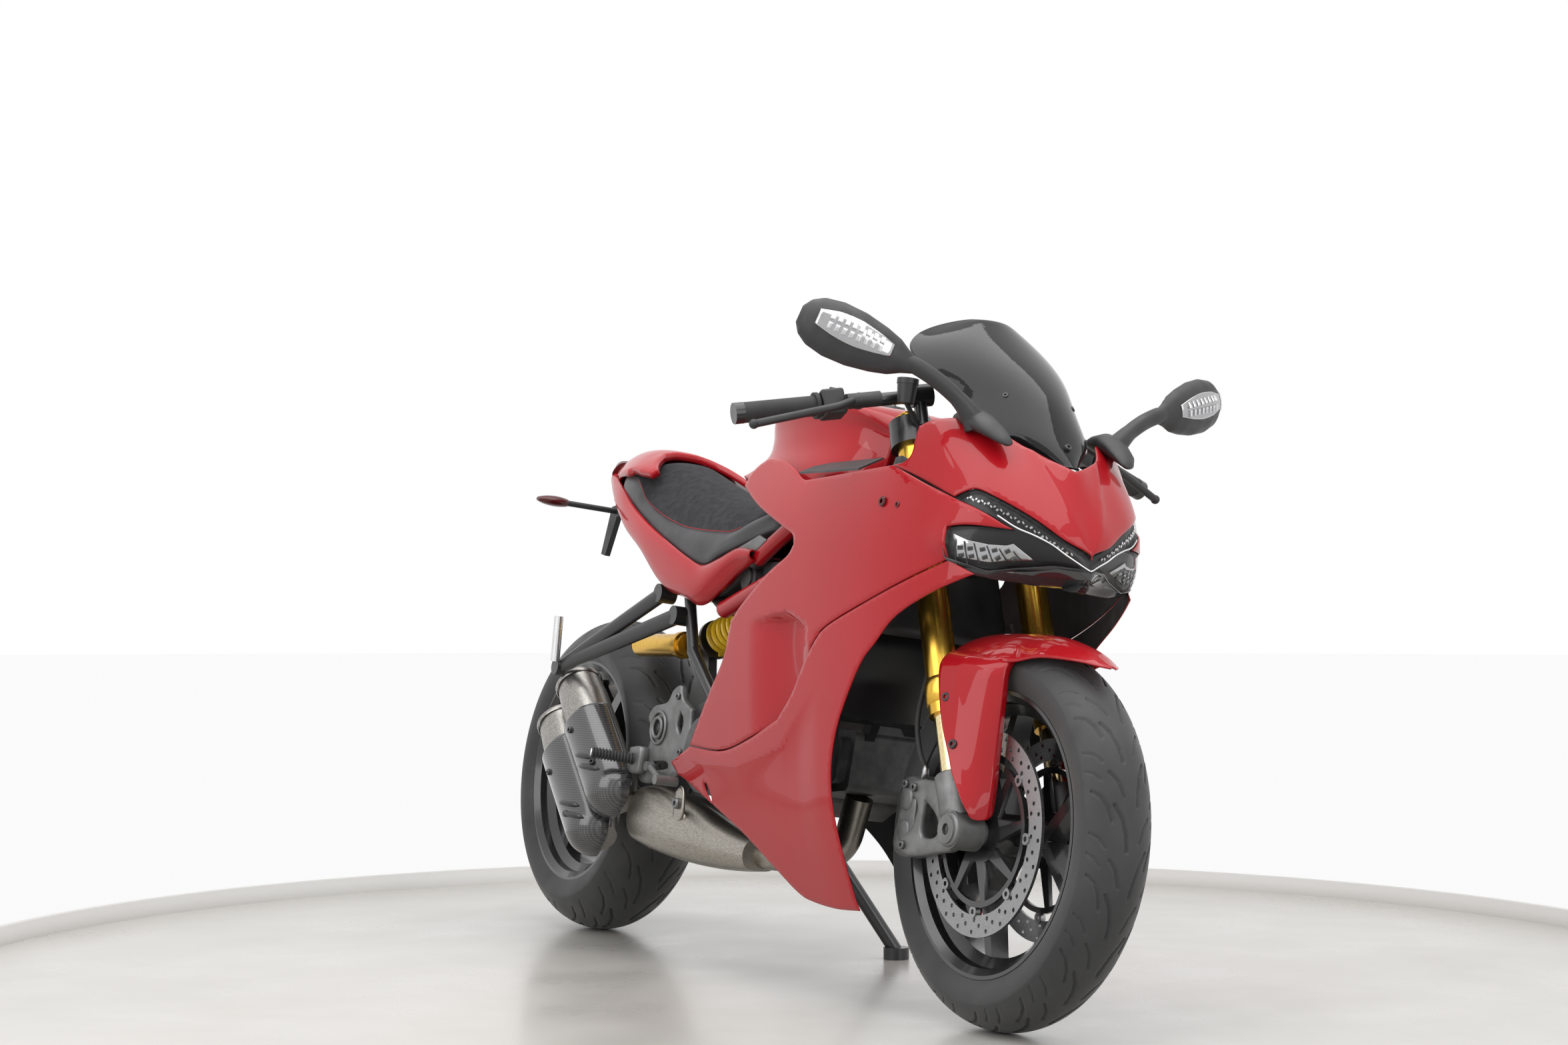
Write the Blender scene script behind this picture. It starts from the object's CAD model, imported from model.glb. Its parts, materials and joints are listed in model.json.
import bpy
import bmesh
import json
import math
import numpy as np
from mathutils import Matrix, Vector
from mathutils.geometry import delaunay_2d_cdt


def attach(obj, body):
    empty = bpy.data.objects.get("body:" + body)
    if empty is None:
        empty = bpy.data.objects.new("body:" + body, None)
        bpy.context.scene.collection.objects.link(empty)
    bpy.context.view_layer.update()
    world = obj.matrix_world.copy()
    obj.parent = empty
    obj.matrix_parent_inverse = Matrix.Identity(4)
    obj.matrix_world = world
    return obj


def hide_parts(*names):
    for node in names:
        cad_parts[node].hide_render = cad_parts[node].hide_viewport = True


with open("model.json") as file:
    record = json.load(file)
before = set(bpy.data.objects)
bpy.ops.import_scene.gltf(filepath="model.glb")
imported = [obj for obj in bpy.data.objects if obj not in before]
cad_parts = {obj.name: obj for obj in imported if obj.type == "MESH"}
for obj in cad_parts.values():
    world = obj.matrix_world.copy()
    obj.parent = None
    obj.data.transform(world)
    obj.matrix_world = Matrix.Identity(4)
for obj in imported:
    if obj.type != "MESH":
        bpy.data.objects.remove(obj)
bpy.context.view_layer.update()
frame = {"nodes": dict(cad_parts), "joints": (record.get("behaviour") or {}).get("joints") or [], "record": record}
NODES = frame["nodes"]
JOINTS = {j["name"]: j for j in frame["joints"]}

# Places that the frame gives
FRONT_AXLE = Vector(JOINTS["front_wheel_spin"]["pos_m"])
REAR_AXLE = Vector(JOINTS["rear_wheel_spin"]["pos_m"])
ACROSS = Vector(JOINTS["rear_wheel_spin"]["axis"]).normalized()
LEAN = -math.atan2(ACROSS.z, ACROSS.y)
BIKE_UP = Vector((0, math.sin(LEAN), math.cos(LEAN)))


def at(x, y, z):
    """The leaned frame's place of an upright point: millimetres, x from the rear axle and z from the road."""
    return UPRIGHT_ORIGIN + Vector((x, 0, 0)) / 1000 + ACROSS * (y / 1000) + BIKE_UP * (z / 1000)


FRONT_AXLE_UPRIGHT = (1478.0, 0.0, 300.0)
UPRIGHT_ORIGIN = (FRONT_AXLE - Vector((FRONT_AXLE_UPRIGHT[0], 0, 0)) / 1000
                  - BIKE_UP * (FRONT_AXLE_UPRIGHT[2] / 1000))


# Materials


def principled(name, colour, rough, metal=0.0, **extra):
    mat = bpy.data.materials.new(name)
    mat.use_nodes = True
    shader = mat.node_tree.nodes["Principled BSDF"]
    shader.inputs["Base Color"].default_value = (*colour, 1.0)
    shader.inputs["Roughness"].default_value = rough
    shader.inputs["Metallic"].default_value = metal
    for key, value in extra.items():
        shader.inputs[key.replace("_", " ")].default_value = value
    return mat


def add(mat, kind, **inputs):
    node = mat.node_tree.nodes.new(kind)
    for key, value in inputs.items():
        node.inputs[key].default_value = value
    return node


def link(mat, source, target):
    mat.node_tree.links.new(source, target)


def shader_of(mat):
    return mat.node_tree.nodes["Principled BSDF"]


def coords(mat, stretch=(1, 1, 1)):
    tex = add(mat, "ShaderNodeTexCoord")
    mapping = add(mat, "ShaderNodeMapping")
    mapping.inputs["Scale"].default_value = stretch
    link(mat, tex.outputs["Object"], mapping.inputs["Vector"])
    return mapping.outputs["Vector"]


def noise(mat, scale, detail, stretch):
    tex = add(mat, "ShaderNodeTexNoise", Scale=scale, Detail=detail)
    link(mat, coords(mat, stretch), tex.inputs["Vector"])
    return tex.outputs["Fac"]


def relief_from(mat, height, strength, distance):
    bump = add(mat, "ShaderNodeBump", Strength=strength, Distance=distance)
    link(mat, height, bump.inputs["Height"])
    link(mat, bump.outputs["Normal"], shader_of(mat).inputs["Normal"])


def grain(mat, scale, strength, distance=0.001, detail=3.0, stretch=(1, 1, 1)):
    """Fine surface relief from noise."""
    relief_from(mat, noise(mat, scale, detail, stretch), strength, distance)


def mottle(mat, scale, low, high):
    """Roughness that drifts over the surface."""
    spread = add(mat, "ShaderNodeMapRange", **{"From Min": 0.3, "From Max": 0.7, "To Min": low, "To Max": high})
    link(mat, noise(mat, scale, 4.0, (1, 1, 1)), spread.inputs["Value"])
    link(mat, spread.outputs["Result"], shader_of(mat).inputs["Roughness"])


def colour_from(mat, value, *stops):
    """Base colour from a ramp: each stop is a position and a colour."""
    ramp = add(mat, "ShaderNodeValToRGB")
    for element, (position, colour) in zip(ramp.color_ramp.elements, stops):
        element.position = position
        element.color = (*colour, 1)
    link(mat, value, ramp.inputs["Fac"])
    link(mat, ramp.outputs["Color"], shader_of(mat).inputs["Base Color"])


def tint(mat, scale, first, second, detail=4.0, stretch=(1, 1, 1), low=0.35, high=0.65):
    """Two close colours mixed by noise."""
    colour_from(mat, noise(mat, scale, detail, stretch), (low, first), (high, second))


def surface(name, colour, rough, metal=0.0, relief=None, drift=None, mix=None, **extra):
    """A material with noise in its relief, roughness and colour where these are given."""
    mat = principled(name, colour, rough, metal, **extra)
    for change, values in ((grain, relief), (mottle, drift), (tint, mix)):
        if values:
            change(mat, *values)
    return mat


def leather():
    mat = principled("leather", (0.03, 0.03, 0.032), 0.42)
    cells = add(mat, "ShaderNodeTexVoronoi", Scale=620.0)
    link(mat, coords(mat), cells.inputs["Vector"])
    relief_from(mat, cells.outputs["Distance"], 0.25, 0.0004)
    mottle(mat, 24, 0.36, 0.5)
    tint(mat, 14, (0.024, 0.024, 0.026), (0.038, 0.038, 0.041))
    return mat


def brushed(name, dark, light, rough, fine=900, along=(1, 14, 14)):
    mat = principled(name, light, rough, 1.0)
    tint(mat, fine / 10, dark, light, stretch=along)
    grain(mat, fine, 0.18, 0.0002, stretch=along)
    return mat


def anodised(name, colour, deep, rough):
    mat = principled(name, colour, rough, 1.0)
    tint(mat, 40, deep, colour, stretch=(6, 6, 1))
    grain(mat, 1200, 0.05, 0.0002, stretch=(8, 8, 1))
    return mat


def casting(name, first, second, rough=0.5, metal=0.7):
    mat = principled(name, first, rough, metal)
    tint(mat, 35, first, second)
    grain(mat, 420, 0.35, 0.0006, 5.0)
    return mat


def carbon_weave():
    mat = principled("carbon_weave", (0.02, 0.02, 0.022), 0.3, Coat_Weight=1.0, Coat_Roughness=0.06)
    twill = add(mat, "ShaderNodeMath")
    twill.operation = "GREATER_THAN"
    vec = coords(mat)
    for i, direction in enumerate("XZ"):
        wave = add(mat, "ShaderNodeTexWave", Scale=75.0, Distortion=0.0)
        wave.bands_direction = direction
        link(mat, vec, wave.inputs["Vector"])
        link(mat, wave.outputs["Fac"], twill.inputs[i])
    colour_from(mat, twill.outputs[0], (0.0, (0.012, 0.012, 0.013)), (1.0, (0.06, 0.06, 0.064)))
    return mat


def plain(name, colour, rough, metal=0.0, scale=40, **extra):
    mat = principled(name, colour, rough, metal, **extra)
    mottle(mat, scale, max(rough - 0.06, 0.02), rough + 0.08)
    return mat


RED = surface("red_paint", (0.36, 0.004, 0.009), 0.4, relief=(260, 0.03, 0.0004, 2.0),
              mix=(1.6, (0.34, 0.0035, 0.008), (0.38, 0.0045, 0.01)),
              Coat_Weight=0.62, Coat_Roughness=0.02, Specular_IOR_Level=0.1)
PLASTIC = surface("black_plastic", (0.018, 0.018, 0.019), 0.5, relief=(1800, 0.12, 0.0004),
                  drift=(30, 0.42, 0.58),
                  mix=(12, (0.014, 0.014, 0.015), (0.023, 0.023, 0.024)))
BLACK = surface("black_metal", (0.014, 0.014, 0.015), 0.34, relief=(900, 0.08, 0.0004), drift=(22, 0.28, 0.42),
                Coat_Weight=0.3, Coat_Roughness=0.2)
GLOSS = surface("gloss_black", (0.008, 0.008, 0.009), 0.12, drift=(18, 0.09, 0.16),
                Coat_Weight=1.0, Coat_Roughness=0.02)
WHEEL = surface("wheel_black", (0.012, 0.012, 0.013), 0.28, relief=(700, 0.05, 0.0005), drift=(16, 0.22, 0.36),
                Coat_Weight=0.6, Coat_Roughness=0.12)
RUBBER = surface("soft_rubber", (0.02, 0.02, 0.021), 0.7, relief=(900, 0.2, 0.0005),
                 mix=(20, (0.015, 0.015, 0.016), (0.026, 0.026, 0.027)))
TYRE = surface("tyre_rubber", (0.022, 0.022, 0.023), 0.62, relief=(500, 0.25, 0.0004), drift=(14, 0.5, 0.72),
               mix=(9, (0.017, 0.017, 0.018), (0.03, 0.03, 0.031)), Sheen_Weight=0.15, Sheen_Roughness=0.5)
GOLD = anodised("gold_anodised", (0.78, 0.48, 0.075), (0.7, 0.41, 0.06), 0.25)
PALE_GOLD = brushed("pale_gold", (0.72, 0.56, 0.28), (0.9, 0.76, 0.46), 0.14, 600, (12, 12, 1))
STEEL = brushed("disc_steel", (0.26, 0.26, 0.265), (0.4, 0.4, 0.405), 0.32, 900, (10, 1, 10))
CASTING = casting("grey_casting", (0.15, 0.152, 0.15), (0.21, 0.212, 0.21), 0.48)
CALIPER = casting("caliper_grey", (0.12, 0.12, 0.12), (0.165, 0.166, 0.165), 0.42)
ENGINE = casting("engine_grey", (0.11, 0.11, 0.112), (0.16, 0.16, 0.162), 0.55, 0.6)
COVER = casting("dark_cover", (0.05, 0.05, 0.052), (0.09, 0.09, 0.092), 0.42, 0.3)
BRUSHED_CAN = brushed("brushed_can", (0.26, 0.25, 0.235), (0.4, 0.385, 0.36), 0.34, 700, (2, 16, 2))
BRUSHED_PIPE = brushed("brushed_pipe", (0.26, 0.24, 0.21), (0.42, 0.39, 0.345), 0.34, 700, (1, 12, 12))
DARK_STEEL = casting("dark_steel", (0.12, 0.12, 0.12), (0.2, 0.2, 0.2), 0.4, 0.9)
SILVER = plain("silver_alloy", (0.72, 0.72, 0.73), 0.25, 1.0)
YELLOW = plain("yellow_spring", (0.8, 0.5, 0.02), 0.3, 0.0, Coat_Weight=0.6)
LENS_DARK = plain("lamp_dark", (0.01, 0.01, 0.012), 0.06, 0.0, Coat_Weight=1.0)
SUEDE = surface("suede", (0.026, 0.026, 0.028), 0.95, relief=(1400, 0.35, 0.0006, 4.0),
                mix=(70, (0.02, 0.02, 0.022), (0.034, 0.034, 0.037), 8.0),
                Sheen_Weight=0.04, Sheen_Roughness=0.6, Specular_IOR_Level=0.15)
LEATHER = leather()
THREAD = plain("red_thread", (0.42, 0.02, 0.03), 0.6)
LENS_CLEAR = plain("lamp_glass", (0.02, 0.02, 0.022), 0.03, Alpha=0.16)
SILVER_TRIM = plain("silver_trim", (0.8, 0.8, 0.81), 0.12, 1.0)
LAMP_BLACK = plain("lamp_black", (0.006, 0.006, 0.007), 0.32)
LIP_GREY = plain("lip_grey", (0.035, 0.036, 0.038), 0.12)
RED_LENS = plain("red_lens", (0.07, 0.004, 0.005), 0.12)
MIRROR = plain("mirror_glass", (0.85, 0.86, 0.88), 0.03, 1.0)
SMOKED = surface("smoked_screen", (0.008, 0.008, 0.009), 0.08, drift=(8, 0.03, 0.06),
                 Specular_IOR_Level=0.3, Alpha=0.965)
CARBON = carbon_weave()

BY_SLOT = {"tyre": TYRE, "wheel_black": WHEEL, "disc_steel": STEEL, "grey_alloy": CASTING,
           "dark_steel": DARK_STEEL,
           "gold_anodised": GOLD, "pale_gold": PALE_GOLD, "caliper_grey": CALIPER, "black_metal": BLACK,
           "rubber": RUBBER, "black_plastic": PLASTIC, "red_paint": RED, "engine_grey": ENGINE,
           "dark_cover": COVER,
           "cast_grey": CASTING, "silver_alloy": SILVER, "brushed_can": BRUSHED_CAN,
           "brushed_pipe": BRUSHED_PIPE,
           "yellow_spring": YELLOW, "lamp_dark": LENS_DARK, "black_gloss": GLOSS, "smoked_screen": SMOKED,
           "seat_cover": PLASTIC, "carbon_weave": CARBON, "red_lens": RED_LENS}


SHARP_EDGE = math.radians(28)


def mount(piece, slot, node=None, body="chassis"):
    """Puts a piece on its body, over the node that it stands for, with its material slot."""
    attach(piece, body)
    if node:
        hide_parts(node)


def dress_nodes():
    """Each carried-over node gets the material of its slot."""
    slot_of = {s["node"]: s["material_slot"] for s in frame["record"]["subparts"]}
    for name, obj in NODES.items():
        obj.data.materials.clear()
        obj.data.materials.append(BY_SLOT[slot_of[name]])
        for poly in obj.data.polygons:
            poly.use_smooth = True
        mod = obj.modifiers.new("edges", "EDGE_SPLIT")
        mod.split_angle = SHARP_EDGE


# Shapes
SIDES = (("right", -1), ("left", 1))


def catmull(points, corners=(), per=14):
    """A smooth curve through the points that turns sharply only at the corner indices."""
    pts = [np.array(p, float) for p in points]
    stops = sorted({0, len(pts) - 1, *corners})
    out = [pts[0]]
    for first, last in zip(stops[:-1], stops[1:]):
        run = pts[first:last + 1]
        for i in range(len(run) - 1):
            a = run[i - 1] if i > 0 else 2 * run[0] - run[1]
            b, c = run[i], run[i + 1]
            d = run[i + 2] if i + 2 < len(run) else 2 * run[-1] - run[-2]
            for k in range(1, per + 1):
                t = k / per
                out.append(0.5 * (2 * b + (c - a) * t + (2 * a - 5 * b + 4 * c - d) * t ** 2
                                  + (3 * b - a - 3 * c + d) * t ** 3))
    return np.array(out)


def resample(line, count, bunch=0.0):
    """Points at even steps along a polyline, closer together at both ends as bunch nears 1."""
    step = np.r_[0, np.cumsum(np.linalg.norm(np.diff(line, axis=0), axis=1))]
    t = np.linspace(0, 1, count)
    t = (1 - bunch) * t + bunch * (0.5 - 0.5 * np.cos(math.pi * t))
    return np.column_stack([np.interp(t * step[-1], step, line[:, k]) for k in range(line.shape[1])])


def knot_basis(count, degree, t):
    """Weights of a clamped even B-spline at t, an array, one row per value."""
    knots = np.r_[np.zeros(degree), np.arange(count - degree + 1),
                  np.full(degree, count - degree)].astype(float)
    t = np.clip(t, 0, count - degree - 1e-9)
    rows = np.array([(knots[i] <= t) & (t < knots[i + 1]) for i in range(len(knots) - 1)], float)
    for d in range(1, degree + 1):
        nxt = []
        for i in range(len(rows) - 1):
            left = knots[i + d] - knots[i]
            right = knots[i + d + 1] - knots[i + 1]
            value = np.zeros_like(t)
            if left > 0:
                value = value + (t - knots[i]) / left * rows[i]
            if right > 0:
                value = value + (knots[i + d + 1] - t) / right * rows[i + 1]
            nxt.append(value)
        rows = np.array(nxt)
    return rows[:count].T


class Skin:
    """The fairing's side as the half width over (x, z), in millimetres."""

    def __init__(self, heights, rows):
        self.x = np.array([r[0] for r in rows], float)
        self.z = np.array(heights, float)
        self.w = np.array([r[1] for r in rows], float)
        self.u = np.linspace(0, len(self.x) - 3, 500)
        self.v = np.linspace(0, len(self.z) - 3, 500)
        self.xu = knot_basis(len(self.x), 3, self.u) @ self.x
        self.zv = knot_basis(len(self.z), 3, self.v) @ self.z

    def half(self, x, z):
        u = np.interp(x.ravel(), self.xu, self.u)
        v = np.interp(z.ravel(), self.zv, self.v)
        found = np.einsum("ki,ij,kj->k", knot_basis(len(self.x), 3, u), self.w, knot_basis(len(self.z), 3, v))
        return found.reshape(x.shape)


def smooth(t):
    t = np.clip(t, 0, 1)
    return t * t * (3 - 2 * t)


def below_line(x, z, line):
    """How far a point lies below a polyline that runs along x."""
    pts = np.array(line, float)
    return np.interp(x, pts[:, 0], pts[:, 1]) - z


def segment_distance(x, z, line):
    """Distance to a polyline."""
    best = np.full(x.shape, 1e9)
    for (x0, z0), (x1, z1) in zip(line[:-1], line[1:]):
        dx, dz = x1 - x0, z1 - z0
        t = np.clip(((x - x0) * dx + (z - z0) * dz) / (dx * dx + dz * dz), 0, 1)
        best = np.minimum(best, np.hypot(x - x0 - t * dx, z - z0 - t * dz))
    return best


def grid_mesh(name, points, mat, close_u=False, close_v=False, flip=False):
    """A quad mesh over a 2-D array of upright-frame points in millimetres."""
    nu, nv = points.shape[:2]
    flat = points.reshape(-1, 3)
    verts = [at(*p) for p in flat]
    faces = []
    for i in range(nu if close_u else nu - 1):
        for j in range(nv if close_v else nv - 1):
            a, b = i * nv + j, ((i + 1) % nu) * nv + j
            c, d = ((i + 1) % nu) * nv + (j + 1) % nv, i * nv + (j + 1) % nv
            faces.append((a, d, c, b) if flip else (a, b, c, d))
    return make_mesh(name, verts, faces, mat)


def close_ends(obj):
    """Caps the open rings of a mesh and turns its faces outward."""
    mesh = bmesh.new()
    mesh.from_mesh(obj.data)
    bmesh.ops.holes_fill(mesh, edges=[e for e in mesh.edges if e.is_boundary], sides=0)
    bmesh.ops.recalc_face_normals(mesh, faces=mesh.faces)
    mesh.to_mesh(obj.data)
    mesh.free()


def circle(count):
    """Even angles round a circle."""
    return np.linspace(0, 2 * math.pi, count + 1)[:-1]


def tube(name, points, radius, mat, sides=10, closed=False):
    """A round hose or wire through upright-frame points; radius may be one value or one for each point."""
    pts = np.array(points, float)
    n = len(pts)
    radii = np.full(n, radius) if np.isscalar(radius) else np.array(radius, float)
    along = np.gradient(pts, axis=0)
    if closed:
        along = np.roll(pts, -1, axis=0) - np.roll(pts, 1, axis=0)
    along /= np.linalg.norm(along, axis=1)[:, None]
    up = np.cross(along[0], (0.0, 0.0, 1.0))
    if np.linalg.norm(up) < 0.1:
        up = np.cross(along[0], (1.0, 0.0, 0.0))
    rings = []
    for p, a, r in zip(pts, along, radii):
        up = up - a * a.dot(up)
        up /= np.linalg.norm(up)
        side = np.cross(a, up)
        ang = 2 * np.pi * np.arange(sides) / sides
        rings.append(p + r * (np.cos(ang)[:, None] * up + np.sin(ang)[:, None] * side))
    rings = np.array(rings)
    obj = grid_mesh(name, rings, mat, close_u=closed, close_v=True)
    if not closed:
        close_ends(obj)
    return obj


def bolt_mesh(name, spots, mat, sides=18):
    """Socket screws in one mesh: each spot is (place, outward direction, head radius)."""
    verts, faces = [], []
    for place, out, r in spots:
        place = np.array(place, float)
        out = np.array(out, float) / np.linalg.norm(out)
        u = np.cross(out, (0.3, 0.2, 0.93))
        u /= np.linalg.norm(u)
        v = np.cross(out, u)
        base = len(verts)
        rows = ((1.0, -1.5, sides), (1.0, 0.55 * r, sides), (0.86, 0.8 * r, sides), (0.5, 0.8 * r, 6),
                (0.5, 0.25 * r, 6))
        for k, (share, height, count) in enumerate(rows):
            for i in range(sides):
                a = 2 * math.pi * i / sides
                reach = share * r
                if count == 6:
                    step = (a % (math.pi / 3)) - math.pi / 6
                    reach *= math.cos(math.pi / 6) / math.cos(step)
                verts.append(at(*(place + (u * math.cos(a) + v * math.sin(a)) * reach + out * height)))
        for k in range(len(rows) - 1):
            for i in range(sides):
                j = (i + 1) % sides
                faces.append((base + k * sides + i, base + k * sides + j,
                              base + (k + 1) * sides + j, base + (k + 1) * sides + i))
        faces.append(tuple(base + (len(rows) - 1) * sides + i for i in range(sides)))
    obj = make_mesh(name, verts, faces, mat, smooth=False)
    return obj


# Side panels
SKIN_Z = (120, 260, 400, 550, 700, 800, 900, 985)
SKIN_ROWS = ((480, (88, 146, 174, 180, 178, 168, 148, 128)),
             (780, (96, 158, 190, 203, 208, 202, 172, 130)),
             (1050, (100, 164, 196, 212, 222, 216, 186, 138)),
             (1250, (110, 168, 194, 209, 220, 216, 192, 158)),
             (1380, (86, 146, 178, 196, 203, 205, 196, 172)),
             (1470, (76, 124, 152, 170, 173, 184, 168, 142)),
             (1560, (50, 88, 106, 116, 120, 128, 112, 84)))
SKIN = Skin(SKIN_Z, SKIN_ROWS)
SCOOP_TOP = [(880, 606), (1047, 624), (1166, 590), (1300, 520)]
SCOOP_DEPTH = 30.0
SCOOP_EDGE = 9.0
SCOOP_LINES = (SCOOP_TOP, [(x, z - SCOOP_EDGE) for x, z in SCOOP_TOP])
SCOOP_RAMP = 150.0
# The outlet's front corner by the seam, where it stays shallow
SCOOP_CORNER = (1134.0, 584.0)
CORNER_R = 14.0
CORNER_SLOPE = 0.3
# Where the side panel takes over the nose's width
JOIN_X, JOIN_RUN = 1400, 70.0
JOIN_Z, JOIN_RISE = 700, 40.0


def scoop_depth(x, z):
    """The sunken air outlet of the upper side panel."""
    under = smooth(below_line(x, z, SCOOP_TOP) / SCOOP_EDGE)
    left = np.interp(z, [420, 640], [925, 905])
    ramp = smooth((x - left) / SCOOP_RAMP)
    corner = np.hypot(np.asarray(x) - SCOOP_CORNER[0], np.asarray(z) - SCOOP_CORNER[1])
    return np.minimum(SCOOP_DEPTH * under * ramp,
                      CORNER_SLOPE * np.clip(corner - CORNER_R, 0, None)) * (below_line(x, z, SCOOP_TOP) > 0)


LOWER_CREASE = [(560, 352), (647, 364), (867, 358), (986, 388), (1040, 405), (1120, 470), (1190, 530),
                (1260, 570),
                (1400, 630), (1520, 680)]


KINK_SLOPE, KINK_REACH = 0.2, 70.0
KINK_END, KINK_FADE = 1080, 90.0


def lower_depth(x, z):
    """The kink under the bright band that follows the seam."""
    d = np.clip(below_line(x, z, LOWER_CREASE), 0, None)
    return KINK_SLOPE * d * np.exp(-d / KINK_REACH) * (1 - smooth((np.asarray(x) - KINK_END) / KINK_FADE))


UPPER_OUTLINE = ([(676, 386), (763, 486), (812, 545), (833, 609), (873, 638), (962, 689), (1028, 718),
                  (1047, 737),
                  (1036, 754), (992, 770), (870, 812), (782, 851), (790, 876), (815, 893), (846, 900),
                  (905, 893),
                  (962, 876), (1016, 853),
                  (1058, 851), (1200, 857), (1313, 862), (1374, 841), (1462, 808), (1510, 790), (1550, 764),
                  (1500, 766),
                  (1466, 762), (1467, 712),
                  (1396, 682), (1299, 644), (1185, 603), (1149, 580), (1114, 541), (1076, 490), (1026, 446),
                  (920, 409), (810, 384)], (0, 3, 7, 11, 20, 22, 24, 26, 27, 34))
LOWER_OUTLINE = ([(590, 352), (676, 384), (810, 382), (920, 407), (1026, 444), (1076, 488), (1114, 539),
                  (1149, 578),
                  (1185, 601), (1299, 642), (1396, 680), (1467, 710), (1509, 691), (1482, 679), (1430, 654),
                  (1365, 617),
                  (1323, 577), (1290, 547), (1254, 495), (1218, 430), (1201, 366), (1200, 303), (1210, 241),
                  (1222, 172),
                  (1228, 150), (1150, 146), (1068, 150), (1022, 160), (948, 197), (842, 249), (701, 302),
                  (632, 326),
                  (612, 330)], (0, 1, 4, 7, 11, 12, 24, 32))
VENT_HOLE = [(719, 322), (730, 322), (744, 300), (744, 292), (736, 292), (722, 310)]


def closed_curve(points, corners, per=10):
    """A closed outline, smooth apart from its corners; it starts at a corner."""
    line = catmull([*points, points[0]], corners, per)
    return line[:-1]


def even_loop(line, step):
    """A closed polyline with points about one step apart that keeps its own sharp points."""
    out = []
    for i, p in enumerate(line):
        q = line[(i + 1) % len(line)]
        n = max(1, int(round(np.linalg.norm(q - p) / step)))
        if out and np.linalg.norm(p - out[-1]) < 0.35 * step:
            continue
        out.extend(p + (q - p) * k / n for k in range(n))
    return np.array(out)


def inside(points, loop):
    """Whether points lie inside a closed polyline."""
    x, y = points[:, 0], points[:, 1]
    hit = np.zeros(len(points), bool)
    for (x0, y0), (x1, y1) in zip(loop, np.roll(loop, -1, axis=0)):
        if y0 == y1:
            continue
        crosses = (y0 > y) != (y1 > y)
        hit ^= crosses & (x < (x1 - x0) * (y - y0) / (y1 - y0) + x0)
    return hit


def loop_distance(points, loop):
    closed = np.vstack([loop, loop[:1]])
    return segment_distance(points[:, 0], points[:, 1], closed)


def inset(loop, step):
    """The loop moved to its inside."""
    before, after = np.roll(loop, 1, axis=0), np.roll(loop, -1, axis=0)
    along = after - before
    along /= np.maximum(np.linalg.norm(along, axis=1), 1e-9)[:, None]
    side = np.column_stack([-along[:, 1], along[:, 0]])
    area = np.sum(loop[:, 0] * np.roll(loop[:, 1], -1) - np.roll(loop[:, 0], -1) * loop[:, 1])
    return loop + side * (step if area > 0 else -step)


def sheet(name, mat, outline, place, normal, holes=(), lines=(), cell=7.0, wall=3.0, edge=1.6, step=5.0,
          lining=None):
    """A sheet with rolled edges. Outline, holes and creases are on a flat map that place puts in the frame."""
    loops = [even_loop(np.array(loop, float), step) for loop in (outline, *holes)]
    points, edges, sink = [], [], []
    keep = []
    for k, loop in enumerate(loops):
        inner = inset(loop, edge if k == 0 else -edge)
        for ring, drop in ((loop, edge * 0.8), (inner, 0.0)):
            base = len(points)
            points.extend(ring)
            sink.extend([drop] * len(ring))
            if drop:
                edges.extend((base + i, base + (i + 1) % len(ring)) for i in range(len(ring)))
                keep.append((base, len(ring)))
    for line in lines:
        path = np.array(line, float)
        run = resample(path, max(2, int(np.sum(np.linalg.norm(np.diff(path, axis=0), axis=1)) / step)))
        ok = inside(run, loops[0]) & (loop_distance(run, loops[0]) > 2.5 * edge)
        run = run[ok]
        base = len(points)
        points.extend(run)
        sink.extend([0.0] * len(run))
    lo, hi = loops[0].min(axis=0), loops[0].max(axis=0)
    rows = np.arange(lo[1], hi[1], cell * 0.87)
    grid = np.array([(x + (0.5 * cell if i % 2 else 0.0), y) for i, y in enumerate(rows)
                     for x in np.arange(lo[0], hi[0], cell)])
    ok = inside(grid, loops[0])
    for hole in loops[1:]:
        ok &= ~inside(grid, hole)
    for loop in loops:
        ok &= loop_distance(grid, loop) > edge + 0.45 * cell
    for line in lines:
        ok &= segment_distance(grid[:, 0], grid[:, 1], line) > 0.45 * cell
    grid = grid[ok]
    points.extend(grid)
    sink.extend([0.0] * len(grid))
    verts2, _, tris, origin, _, _ = delaunay_2d_cdt([Vector(p) for p in points], edges, [], 1, 1e-5)
    flat = np.array([tuple(v) for v in verts2])
    drop = np.array([max((sink[i] for i in ids), default=0.0) for ids in origin])
    centre = np.array([flat[list(t)].mean(axis=0) for t in tris])
    good = inside(centre, loops[0])
    for hole in loops[1:]:
        good &= ~inside(centre, hole)
    tris = [t for t, g in zip(tris, good) if g]
    top = place(flat)
    out = normal(flat)
    front = top - out * drop[:, None]
    back = top - out * wall
    n = len(flat)
    verts = [at(*p) for p in front] + [at(*p) for p in back]
    faces = []
    a3, b3, c3 = (front[list(zip(*tris))[k],] for k in range(3))
    flip = np.sum(np.cross(b3 - a3, c3 - a3) * out[[t[0] for t in tris]])
    for t in tris:
        t = tuple(t) if flip > 0 else tuple(reversed(t))
        faces.append(t)
        faces.append(tuple(i + n for i in reversed(t)))
    rim = {}
    for t in tris:
        t = tuple(t) if flip > 0 else tuple(reversed(t))
        for i in range(len(t)):
            rim[(t[i], t[(i + 1) % len(t)])] = True
    for i, j in rim:
        if (j, i) not in rim:
            faces.append((j, i, i + n, j + n))
    obj = make_mesh(name, verts, faces, mat)
    if lining:
        obj.data.materials.append(lining)
        for poly in obj.data.polygons:
            if all(k >= n for k in poly.vertices):
                poly.material_index = 1
    return obj


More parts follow.
